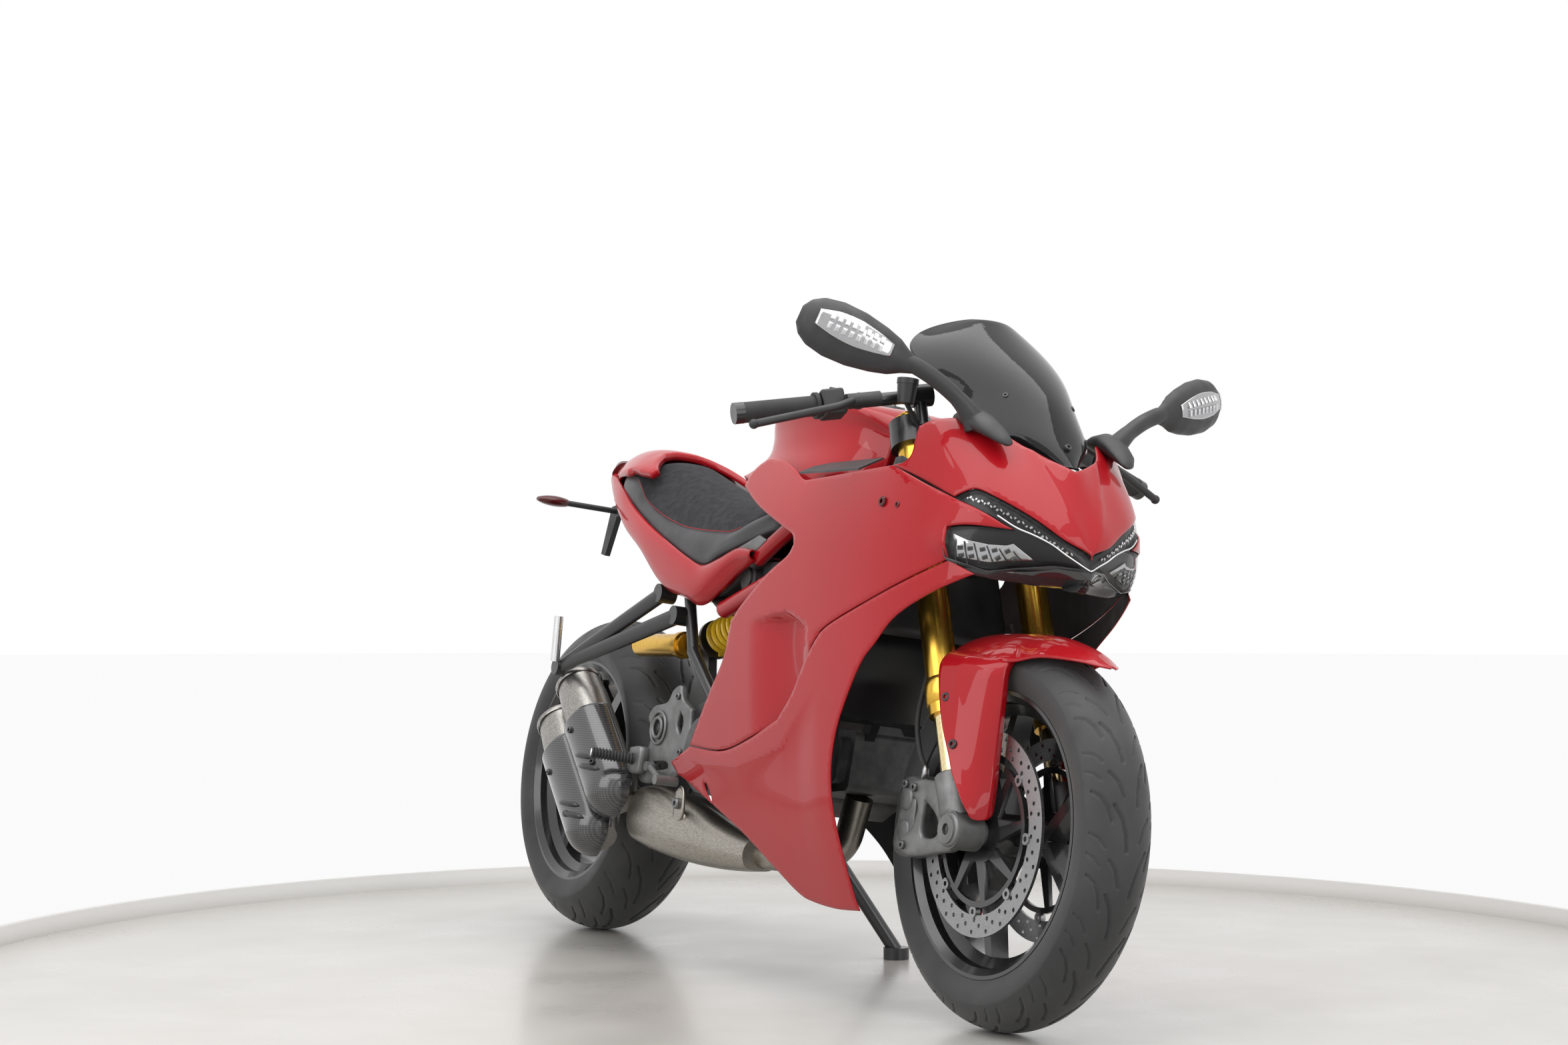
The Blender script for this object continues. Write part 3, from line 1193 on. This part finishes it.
def build_mirrors():
    for side, sign in SIDES:
        over = [1, sign, 1]
        head = []
        for t in np.r_[np.linspace(-0.06, 0.9, 40), np.linspace(0.915, 1.0, 9)]:
            head.append([mirror_point(t, a) * over for a in circle(48)])
        shell = grid_mesh("mirror_head_" + side, np.array(head), PLASTIC, close_v=True)
        path = catmull(MIRROR_ARM, (), 8)
        arm_r = np.interp(np.linspace(0, 1, len(path)), [0, 0.2, 0.6, 0.85, 1], [12, 13.5, 13, 17, 22])
        arm = tube("mirror_arm_" + side, path * over, arm_r, PLASTIC, 24)
        foot = []
        for x, y, z, w, h in MIRROR_FOOT:
            foot.append([(x, sign * (y + w * math.cos(a)), z + h * math.sin(a)) for a in circle(32)])
        pad = grid_mesh("mirror_foot_" + side, np.array(foot), PLASTIC, close_v=True)
        for obj in (shell, pad):
            close_ends(obj)
        bowl = mirror_patch("mirror_lamp_bowl_" + side, sign, SILVER_TRIM, 0.8, 0.2, 0.86, 0.5, 1.0)
        verts, faces = [], []
        for lift in (-0.17, 0.17):
            for t in np.linspace(0.3, 0.74, 8):
                centre = mirror_point(t, 0.12 + lift, 2.4) * over
                out = (mirror_point(t, 0.12 + lift, 12.0) - mirror_point(t, 0.12 + lift, 0.0)) * over
                run = (MIRROR_TIP - MIRROR_JOINT) * over
                small_block(verts, faces, centre, out, run, (7.4, 11.0, 4.0))
        cells = make_mesh("mirror_lamp_cells_" + side, verts, faces, SILVER, smooth=False)
        lens = mirror_patch("mirror_lamp_lens_" + side, sign, LENS_CLEAR, 5.0, 0.19, 0.87, 0.52, 1.4)
        glass = [[mirror_point(t, math.pi + v, -3.0) * over for v in np.linspace(-1.1, 1.1, 12)]
                 for t in np.linspace(0.16, 0.93, 24)]
        glass = grid_mesh("mirror_glass_" + side, np.array(glass) - [3.2, 0, 0], MIRROR, flip=sign > 0)
        thicken(glass, 1.5)
        for piece, slot in ((shell, "black_plastic"), (arm, "black_plastic"), (pad, "black_plastic"),
                            (bowl, "silver_alloy"),
                            (cells, "silver_alloy"), (lens, "lamp_dark"), (glass, "silver_alloy")):
            mount(piece, slot, "mirror_" + side)


# Front guard and legs
GUARD_WALL = 2.6
GUARD = ((1262, 574, 1268, 66, 540), (1316, 594, 1322, 70, 556), (1368, 607, 1375, 86, 572),
         (1420, 613, 1430, 98, 570),
         (1470, 613.5, 1480, 90, 566), (1507, 613, 1520, 72, 564), (1558, 609, 1575, 57, 574),
         (1626, 593, 1640, 36, 572),
         (1661, 577, 1673, 18, 567), (1684, 567, 1687, 4, 565))
# Rows of the side plate from its shoulder down: four points each from the rear edge to the front one.
PLATE = (((1408, 92, 578), (1448, 88, 577), (1490, 78, 573), (1514, 66, 568), (1511, 60, 566)),
         ((1404, 112, 570), (1448, 106, 566), (1490, 92, 562), (1515, 76, 559), (1511, 66, 556)),
         ((1404, 124, 552), (1450, 117, 548), (1492, 101, 545), (1516, 80, 545), (1511, 69, 545)),
         ((1413, 128, 520), (1453, 121, 516), (1493, 103, 515), (1516, 80, 515), (1511, 69, 515)),
         ((1436, 130, 461), (1462, 122, 460), (1496, 104, 460), (1516, 80, 460), (1511, 69, 460)),
         ((1463, 129, 412), (1478, 121, 411), (1501, 103, 411), (1516, 80, 411), (1511, 69, 411)),
         ((1476, 128, 386), (1488, 120, 385), (1505, 102, 384), (1517, 80, 384), (1512, 69, 384)),
         ((1499, 124, 350), (1504, 116, 349), (1512, 100, 348), (1518, 81, 348), (1513, 71, 348)),
         ((1508, 116, 331), (1510, 111, 329), (1514, 98, 328), (1518, 83, 328), (1514, 74, 330)),
         ((1510, 109, 322), (1511, 106, 320), (1514, 97, 319), (1517, 87, 321), (1514, 80, 325)))


def both_ways(rows, corners, per):
    """A dense grid through rows of points, with creases along the given columns."""
    lines = [catmull(row, corners, per) for row in rows]
    table = np.array(lines)
    return np.array([catmull(table[:, k], (), per) for k in range(table.shape[1])]).transpose(1, 0, 2)


def build_screen_bolts():
    spots = [((1505, 0, 910), (0.75, 0, 0.66), 6.0), ((1412, 64, 989), (0.5, 0.7, 0.5), 5.0),
             ((1412, -64, 989), (0.5, -0.7, 0.5), 5.0)]
    bolts = bolt_mesh("screen_bolts", spots, BLACK)
    mount(bolts, "black_metal")


def build_guard():
    across = np.linspace(-1, 1, 33)
    rows = []
    for x0, z0, xe, ye, ze in catmull(GUARD, (), 6):
        u = np.abs(across)
        rows.append(np.column_stack([x0 + (xe - x0) * u ** 2, ye * across, z0 - (z0 - ze) * u ** 2.3]))
    guard = grid_mesh("front_guard", np.array(rows), RED, flip=True)
    thicken(guard, GUARD_WALL)
    made = [(guard, "red_paint")]
    spots = []
    for side, sign in SIDES:
        grid = both_ways(PLATE, (1, 3), 7) * [1, sign, 1]
        plate = grid_mesh("guard_plate_" + side, grid, RED, flip=sign < 0)
        thicken(plate, GUARD_WALL)
        made.append((plate, "red_paint"))
        for x, z in ((1433, 502), (1466, 430)):
            spots.append(((x, sign * 124.5, z), (0.35, sign, 0.1), 7.5))
    made.append((bolt_mesh("guard_screws", spots, BLACK), "black_plastic"))
    for piece, slot in made:
        mount(piece, slot, "front_fender", "front end")


def flat_plate(name, mat, outline, y, wall, holes=(), edge=3.0, cell=9.0, corners=()):
    """A plate with rounded edges whose outer face stands at y."""
    sign = 1 if y > 0 else -1
    return sheet(name, mat, closed_curve(outline, corners, 6),
                 lambda f: np.column_stack([f[:, 0], np.full(len(f), y), f[:, 1]]),
                 lambda f: np.tile([0.0, sign, 0.0], (len(f), 1)), holes=holes, cell=cell, wall=wall, edge=edge)


RAKE = math.radians(24)
CALIPER_Y = 98
FOOT_Y = 120
CALIPER_BRIDGE = [(1296, 340), (1336, 340), (1340, 312), (1336, 284), (1296, 284), (1290, 312)]
CALIPER_BODY = [(1290, 372), (1318, 378), (1342, 368), (1352, 345), (1345, 318), (1356, 290), (1350, 262),
                (1322, 248),
                (1288, 250), (1272, 268), (1280, 310), (1282, 350)]
FOOT_WEB = [(1400, 372), (1432, 368), (1462, 335), (1490, 316), (1494, 286), (1476, 268), (1440, 262),
            (1380, 252),
            (1338, 256), (1334, 276), (1362, 296), (1372, 330), (1352, 348), (1352, 366), (1376, 372)]
FOOT_HOLE = [(1392, 340), (1424, 322), (1440, 300), (1428, 284), (1392, 284), (1388, 312)]


def build_legs():
    made = []
    spots = []
    for side, sign in SIDES:
        body = flat_plate("caliper_body_" + side, CALIPER, CALIPER_BODY, sign * CALIPER_Y, 62,
                          edge=5.0, cell=8.0)
        bridge = flat_plate("caliper_bridge_" + side, CALIPER, CALIPER_BRIDGE, sign * 103, 8, edge=2.5)
        web = flat_plate("foot_web_" + side, CASTING, FOOT_WEB, sign * FOOT_Y, 16,
                         holes=(closed_curve(FOOT_HOLE, (), 4),), edge=2.6)
        ring = tube("axle_collar_" + side, [(1478, sign * y, 300) for y in (118, 121, 126, 128)],
                    (25, 27, 27, 24), CASTING, 40)
        inner = tube("axle_bore_" + side, [(1478, sign * y, 300) for y in (127, 129)], (16.5, 16.5), BLACK, 32)
        sleeve_top = np.array([1436.0, sign * 100.0, 384.0])
        way = np.array([-math.sin(RAKE), 0, math.cos(RAKE)])
        sleeve = tube("foot_sleeve_" + side, [sleeve_top - way * k for k in (74, 60, 8, 3, 0)],
                      (27, 29, 30, 30, 27), CASTING, 40)
        for y, x, z in ((CALIPER_Y, 1300, 362), (CALIPER_Y, 1336, 268), (FOOT_Y, 1344, 266),
                        (FOOT_Y, 1362, 358)):
            spots.append(((x, sign * y, z), (0, sign, 0), 7))
        for z in (338, 288):
            cap = tube("caliper_piston_%s_%d" % (side, z), [(1312, sign * y, z) for y in (96, 101, 104.5, 106)],
                       (19, 19, 17.5, 14), CALIPER, 32)
            made.append((cap, "front_calipers", "caliper_grey"))
        low = np.array([1478 - 0.4452 * 190, sign * 100.0, 490.0])
        collar = tube("fork_collar_" + side, [low + way * k for k in (0, 2, 30, 38, 44)], (28, 31, 31, 30, 27),
                      GOLD, 40)
        seal = tube("fork_seal_" + side, [low - way * k for k in (12, 10, 2, -4)], (22, 26, 26, 26), RUBBER, 32)
        made += [(collar, None, "gold_anodised"), (seal, None, "rubber")]
        line = catmull([(1356, sign * 100, 386), (1338, sign * 106, 420), (1320, sign * 104, 470),
                        (1316, sign * 92, 540), (1300, sign * 66, 640)], (), 12)
        hose = tube("brake_hose_" + side, line, 4.2, RUBBER, 12)
        fitting = tube("hose_end_" + side,
                       [(1352, sign * 100, 372), (1355, sign * 100, 382), (1354, sign * 101, 394)], (7, 6, 5),
                       STEEL, 16)
        made += [(body, "front_calipers", "caliper_grey"), (bridge, "front_calipers", "caliper_grey"),
                 (web, None, "grey_alloy"), (ring, None, "grey_alloy"), (inner, None, "black_metal"),
                 (sleeve, None, "grey_alloy"), (hose, None, "rubber"), (fitting, None, "disc_steel")]
    made.append((bolt_mesh("caliper_bolts", spots, DARK_STEEL), None, "dark_steel"))
    for piece, node, slot in made:
        mount(piece, slot, node, "front end")


# Exhaust and foot rests
CAN_END = np.array([140.0, -165.0, 486.0])
CAN_DIR = np.array([-0.75, 0.0, 0.66]) / math.hypot(0.75, 0.66)
CAN_UP = np.array([0.66, 0.0, 0.75]) / math.hypot(0.66, 0.75)
CAN_PITCH = 102.0
SHIELD_R = 57.0
SHIELD_NOSE = 62


def can_point(down, turn, radius, lower):
    """A place on a ring round a can: turn is 0 to the outside and 90 degrees to its upper side."""
    centre = CAN_END - CAN_DIR * down - CAN_UP * (CAN_PITCH if lower else 0.0)
    return centre + np.array([0.0, -1.0, 0.0]) * radius * math.cos(turn) + CAN_UP * radius * math.sin(turn)


def build_shield():
    made = []
    for name, lower, first, last in (("upper", False, 118, 352), ("lower", True, 92, 352)):
        rows = []
        for down in np.r_[np.linspace(first, last - SHIELD_NOSE, 34),
                          last - SHIELD_NOSE + SHIELD_NOSE * np.sin(np.linspace(0.12, 1, 12) * math.pi / 2)]:
            near_end = max(0.0, (down - (last - SHIELD_NOSE)) / SHIELD_NOSE)
            radius = SHIELD_R * math.sqrt(max(0.0004, 1 - near_end ** 2.4))
            lo, hi = (-1.7, 1.75) if not lower else (-1.75, 1.7)
            line = []
            for turn in np.linspace(lo, hi, 40):
                lift = 14 * max(0.0, math.cos(turn * 2.2)) if down < first + 1 else 0.0
                line.append(can_point(down + lift * 0.3, turn, radius, lower))
            rows.append(line)
        barrel = grid_mesh("shield_barrel_" + name, np.array(rows), CARBON)
        thicken(barrel, 2.0)
        made.append((barrel, "heat_shield", "carbon_weave"))
        for i, down in enumerate((232, 262) if lower else (206, 236)):
            line = [can_point(down + 52 * k, -0.1 + 0.8 * k, 57.2, lower) for k in np.linspace(0, 1, 8)]
            slot = tube("shield_slot_%s_%d" % (name, i), line, (1, 4.4, 5.4, 5.4, 5.4, 5.4, 4.4, 1), BLACK, 10)
            made.append((slot, "heat_shield", "black_gloss"))
    spots = []
    for down, turn, lower in ((150, 0.1, False), (262, 0.55, False), (150, -0.1, True), (275, 0.1, True)):
        here = can_point(down, turn, SHIELD_R, lower)
        spots.append((here, here - can_point(down, turn, 0.0, lower), 6.5))
    made.append((bolt_mesh("shield_screws", spots, BLACK), "heat_shield", "black_metal"))
    for lower in (False, True):
        ends = []
        for down, radius in ((2, 44.5), (5, 47.6), (10, 47.6), (13, 46.4)):
            ends.append([can_point(down, t, radius, lower) for t in circle(48)])
        rim = grid_mesh("can_rim_%d" % lower, np.array(ends), BRUSHED_CAN, close_v=True)
        made.append((rim, None, "brushed_can"))
    for piece, node, slot in made:
        mount(piece, slot, node)


HEEL_Y = 144
PIVOT = (480, 413)
HEEL_OUTLINE = [(600, 452), (560, 470), (548, 494), (520, 486), (498, 462), (446, 452), (428, 430), (448, 408),
                (444, 380),
                (420, 352), (410, 322), (438, 308), (500, 314), (560, 326), (598, 350), (606, 400)]
HEEL_HOLES = ([(556, 448), (574, 430), (566, 404), (548, 420)],
              [(470, 350), (520, 352), (530, 340), (468, 334)])


def build_collector_trim():
    half = [(0, 299), (45, 291), (62, 246), (45, 196), (0, 189)]
    loop = catmull([*half, *[(-y, z) for y, z in half[-2:0:-1]], half[0]], (), 8)[:-1]
    seam = tube("collector_seam", [(475, y - 96, z) for y, z in loop], 1.6, DARK_STEEL, 8, closed=True)
    eye = flat_plate("collector_eye", BRUSHED_PIPE,
                     [(604, 300), (622, 312), (638, 300), (640, 262), (624, 244), (606, 252)],
                     -158, 5, edge=1.6, cell=7.0)
    arm = flat_plate("collector_eye_foot", BRUSHED_PIPE, [(606, 262), (640, 262), (636, 236), (612, 236)], -153,
                     12, edge=1.4)
    bolt = bolt_mesh("collector_bolts",
                     [((622, -158, 280), (0, -1, 0), 10), ((634, -152, 232), (0.2, -1, 0.2), 7)], DARK_STEEL)
    tube_path = catmull([(930, -112, 822), (878, -116, 796), (800, -118, 758), (738, -118, 727)], (), 8)
    rail = tube("side_rail", tube_path, 15.0, RED, 28)
    plug = tube("side_rail_plug", [(744, -118, 731), (735, -118, 725), (730, -118, 721)], (16.5, 16.5, 12),
                PLASTIC, 24)
    trim = flat_plate("seat_trim", CASTING, [(685, 748), (767, 771), (796, 762), (737, 731)], -134, 4, edge=1.0,
                      cell=8.0,
                      corners=(0, 1, 2, 3))
    for piece, slot in ((seam, "dark_steel"), (eye, "brushed_pipe"), (arm, "brushed_pipe"),
                        (bolt, "dark_steel"),
                        (rail, "red_paint"), (plug, "black_plastic"), (trim, "cast_grey")):
        mount(piece, slot)


def build_heels():
    made = []
    for side, sign in SIDES:
        plate = flat_plate("heel_casting_" + side, CASTING, HEEL_OUTLINE, sign * HEEL_Y, 11,
                           holes=tuple(closed_curve(h, (), 4) for h in HEEL_HOLES), edge=2.4)
        made.append((plate, "heel_plates", "cast_grey"))
        for k, (r0, r1) in enumerate(((33, 27), (22, 15))):
            r = 0.5 * (r0 + r1)
            ring = [(PIVOT[0] + r * math.cos(a), sign * (146 + 2 * k), PIVOT[1] + r * math.sin(a))
                    for a in circle(48)]
            collar = tube("pivot_ring_%s_%d" % (side, k), ring, 0.5 * (r0 - r1), CASTING, 10, closed=True)
            made.append((collar, "heel_plates", "cast_grey"))
        hexagon = tube("pivot_socket_" + side, [(PIVOT[0], sign * y, PIVOT[1]) for y in (143, 146.5)], (15, 15),
                       BLACK, 6)
        made.append((hexagon, "heel_plates", "black_metal"))
        root, tip = np.array([424, sign * 158, 350.0]), np.array([395, sign * 236, 354.0])
        run = [root + (tip - root) * k / 55 for k in range(56)]
        radii = [11.2 if k % 4 in (1, 2) else 8.6 for k in range(56)]
        made.append((tube("peg_ribs_" + side, run, radii, RUBBER, 18), "rider_pegs", "rubber"))
        end = tube("peg_tip_" + side, [tip, tip + (tip - root) * 0.03], (8.4, 7.0), SILVER, 18)
        hinge = flat_plate("peg_hinge_" + side, CASTING,
                           [(404, 372), (446, 374), (452, 350), (444, 326), (406, 326), (398, 350)], sign * 163,
                           22, edge=3.0)
        made += [(end, "rider_pegs", "silver_alloy"), (hinge, "rider_pegs", "cast_grey")]
        spots = [((x, sign * HEEL_Y, z), (0, sign, 0), 6.5) for x, z in ((580, 372), (438, 330), (548, 474))]
        made.append((bolt_mesh("heel_bolts_" + side, spots, DARK_STEEL), "heel_plates", "dark_steel"))
    pin = tube("pivot_rod", [(PIVOT[0], y, PIVOT[1]) for y in (-140, 140)], 11.8, DARK_STEEL, 24)
    made.append((pin, "heel_plates", "dark_steel"))
    for piece, node, slot in made:
        mount(piece, slot, node)


# Tyres
BEAD_R = 214.0
TREAD_PITCHES = 14


def tyre_profile(radius, half_w, shoulder, rim_half, crown_steps, side_steps):
    """(radius, y, arc from the crown) across the tyre from bead to bead."""
    bead_y = rim_half - 8.0
    side_r = BEAD_R + 0.45 * (shoulder - BEAD_R)
    sag = radius - shoulder
    crown = (half_w ** 2 + sag ** 2) / (2 * sag)
    reach = math.asin(half_w / crown)
    rows = []
    for i in range(side_steps):
        t = i / side_steps
        p0, p1, p2 = np.array([BEAD_R, bead_y]), np.array([side_r, half_w + 2.0]), np.array([shoulder, half_w])
        q = (1 - t) ** 2 * p0 + 2 * t * (1 - t) * p1 + t ** 2 * p2
        rows.append((q[0], -q[1], None))
    for i in range(crown_steps + 1):
        a = -reach + 2 * reach * i / crown_steps
        rows.append((radius - crown * (1 - math.cos(a)), crown * math.sin(a), crown * a))
    for r, y, _ in reversed(rows[:side_steps]):
        rows.append((r, -y, None))
    return rows


def tread(u, v, pitch, cuts, size):
    """Groove depth over the unrolled tread; the two halves are half a pitch apart."""
    side = np.sign(v)
    u = u + np.where(side > 0, 0.5 * pitch, 0.0)
    u = np.mod(u, pitch)
    v = np.abs(v)
    depth = np.zeros_like(u)
    for width, deep, line in cuts:
        for wrap in (-pitch, 0.0, pitch):
            d = segment_distance(u + wrap, v, [(a * size, b * size) for a, b in line])
            depth = np.maximum(depth, deep * (1 - smooth((d - 0.5 * width + 0.9) / 1.8)))
    return depth


GROOVES = ((4.6, 3.6, [(0, 9), (22, 11), (48, 18), (70, 30)]),
           (4.2, 3.4, [(44, 34), (66, 40), (84, 50), (94, 64)]),
           (3.4, 3.0, [(84, 14), (108, 22), (124, 34)]),
           (3.2, 2.6, [(2, 42), (16, 52), (24, 68)]),
           (3.0, 2.4, [(112, 48), (124, 58), (130, 70)]))


def build_tyre(name, node, body, axle, radius, half_w, shoulder, rim_half, size, steps, around):
    rows = tyre_profile(radius, half_w, shoulder, rim_half, steps, 16)
    r = np.array([row[0] for row in rows])
    y = np.array([row[1] for row in rows])
    v = np.array([np.nan if row[2] is None else row[2] for row in rows])
    pitch = 2 * math.pi * radius / TREAD_PITCHES
    angle = 2 * math.pi * np.arange(around) / around
    u = angle * radius
    grid_u, grid_v = np.meshgrid(u, np.nan_to_num(v, nan=500.0), indexing="ij")
    cut = tread(grid_u, grid_v, pitch, GROOVES, size * pitch / 140.0)
    cut[:, np.isnan(v)] = 0
    rr = r[None, :] - cut
    x = axle[0] + rr * np.cos(angle)[:, None]
    z = axle[2] + rr * np.sin(angle)[:, None]
    yy = np.repeat(y[None, :], around, axis=0)
    obj = grid_mesh(name, np.stack([x, yy, z], axis=-1), TYRE, close_u=True)
    mount(obj, "tyre", node, body)


def build_tyres():
    build_tyre("front_tyre_tread", "front_tyre", "front road wheel", (1478, 0, 300), 300, 60, 262, 52, 1.0, 84,
               820)
    rear_z = (REAR_AXLE - UPRIGHT_ORIGIN).dot(BIKE_UP) * 1000
    build_tyre("rear_tyre_tread", "rear_tyre", "rear road wheel", (0, 0, rear_z), 315, 90, 258, 78, 1.36, 100,
               740)


# Stage, light and camera
FLOOR_R = 1.62
GLOW = 0.96
WORLD_LIGHT = 0.62
WORLD_SEEN = 1.0
# Name, place, size and power of each soft lamp
LAMPS = (("top_soft", (0.6, -0.4, 3.4), 4.0, 110.0), ("side_soft", (1.2, -4.2, 2.4), 3.0, 60.0),
         ("front_soft", (4.6, 0.6, 2.0), 2.6, 40.0))
LAMP_TARGET = Vector((0.1, 0, 0.55))
LIP_H = 0.036
CAMERA_SHIFT = Vector((3.406, -2.2835, 0.3586))
CAMERA_AZ = math.radians(-28.8)
CAMERA_EL = math.radians(-1.82)
LENS_MM = 3933.0 / 2352.0 * 36.0


def floor_material():
    mat = principled("floor_vinyl", (0.5, 0.48, 0.45), 0.3, Coat_Weight=0.25, Coat_Roughness=0.15)
    tint(mat, 1.4, (0.47, 0.455, 0.425), (0.53, 0.515, 0.485), 6.0, low=0.3, high=0.7)
    mottle(mat, 3.0, 0.22, 0.42)
    return mat


def white_glow():
    """White for what the camera and reflections see, without lighting the bike."""
    mat = bpy.data.materials.new("white_wall")
    mat.use_nodes = True
    mat.node_tree.nodes.clear()
    out = mat.node_tree.nodes.new("ShaderNodeOutputMaterial")
    glow = add(mat, "ShaderNodeEmission", Color=(1, 1, 1, 1), Strength=GLOW)
    link(mat, glow.outputs["Emission"], out.inputs["Surface"])
    return mat


def make_mesh(name, verts, faces, mat=None, smooth=True):
    mesh = bpy.data.meshes.new(name)
    mesh.from_pydata([tuple(v) for v in verts], [], faces)
    mesh.update()
    obj = bpy.data.objects.new(name, mesh)
    bpy.context.scene.collection.objects.link(obj)
    if mat:
        mesh.materials.append(mat)
    for poly in mesh.polygons:
        poly.use_smooth = smooth
    return obj


def ring_strip(name, rings, mat, count=160, place=lambda x, y, z: (x, y, z)):
    """A surface of revolution about a vertical: each ring is a radius and a height."""
    verts, faces = [], []
    for r, z in rings:
        for i in range(count):
            a = 2 * math.pi * i / count
            verts.append(place(r * math.cos(a), r * math.sin(a), z))
    for j in range(len(rings) - 1):
        for i in range(count):
            k = (i + 1) % count
            faces.append((j * count + i, j * count + k, (j + 1) * count + k, (j + 1) * count + i))
    return make_mesh(name, verts, faces, mat)


def build_stage():
    floor = ring_strip("floor", [(0.001, 0.0), (0.8, 0.0), (FLOOR_R, 0.0)], floor_material())
    lip_mat = plain("floor_lip", (0.62, 0.61, 0.59), 0.5)
    lip = ring_strip("floor_edge", [(FLOOR_R, 0.0), (FLOOR_R, LIP_H), (FLOOR_R + 0.02, LIP_H)], lip_mat)
    outer = ring_strip("floor_beyond", [(FLOOR_R + 0.02, LIP_H), (30.0, LIP_H)], white_glow())


def build_light():
    world = bpy.data.worlds.new("studio")
    bpy.context.scene.world = world
    world.use_nodes = True
    tree = world.node_tree
    back = tree.nodes["Background"]
    path = tree.nodes.new("ShaderNodeLightPath")
    seen = tree.nodes.new("ShaderNodeMath")
    seen.operation = "ADD"
    seen_too = tree.nodes.new("ShaderNodeMath")
    seen_too.operation = "ADD"
    seen_too.use_clamp = True
    tree.links.new(path.outputs["Is Camera Ray"], seen.inputs[0])
    tree.links.new(path.outputs["Is Glossy Ray"], seen.inputs[1])
    tree.links.new(seen.outputs[0], seen_too.inputs[0])
    tree.links.new(path.outputs["Is Transmission Ray"], seen_too.inputs[1])
    level = tree.nodes.new("ShaderNodeMapRange")
    level.inputs["To Min"].default_value = WORLD_LIGHT
    level.inputs["To Max"].default_value = WORLD_SEEN
    tree.links.new(seen_too.outputs[0], level.inputs["Value"])
    tree.links.new(level.outputs["Result"], back.inputs["Strength"])
    back.inputs["Color"].default_value = (1, 1, 1, 1)
    for name, place, size, power in LAMPS:
        data = bpy.data.lights.new(name, "AREA")
        data.size = size
        data.energy = power
        lamp = bpy.data.objects.new(name, data)
        bpy.context.scene.collection.objects.link(lamp)
        lamp.location = place
        aim = LAMP_TARGET - Vector(place)
        lamp.rotation_euler = aim.to_track_quat("-Z", "Y").to_euler()


def build_camera():
    data = bpy.data.cameras.new("photo_camera")
    data.sensor_width = 36.0
    data.lens = LENS_MM
    cam = bpy.data.objects.new("photo_camera", data)
    bpy.context.scene.collection.objects.link(cam)
    back = Vector((math.cos(CAMERA_EL) * math.cos(CAMERA_AZ), math.cos(CAMERA_EL) * math.sin(CAMERA_AZ),
                   math.sin(CAMERA_EL)))
    right = Vector((0, 0, 1)).cross(back).normalized()
    up = back.cross(right)
    turn = Matrix((right, up, back)).transposed()
    cam.matrix_world = Matrix.Translation(FRONT_AXLE + CAMERA_SHIFT) @ turn.to_4x4()
    bpy.context.scene.camera = cam


bpy.context.scene.view_settings.view_transform = "Standard"
dress_nodes()
build_side_panels()
build_nose()
build_ducts()
build_seat()
build_tail()
build_tank()
build_mirrors()
build_screen_bolts()
build_guard()
build_legs()
build_shield()
build_heels()
build_collector_trim()
build_tyres()
build_stage()
build_light()
build_camera()
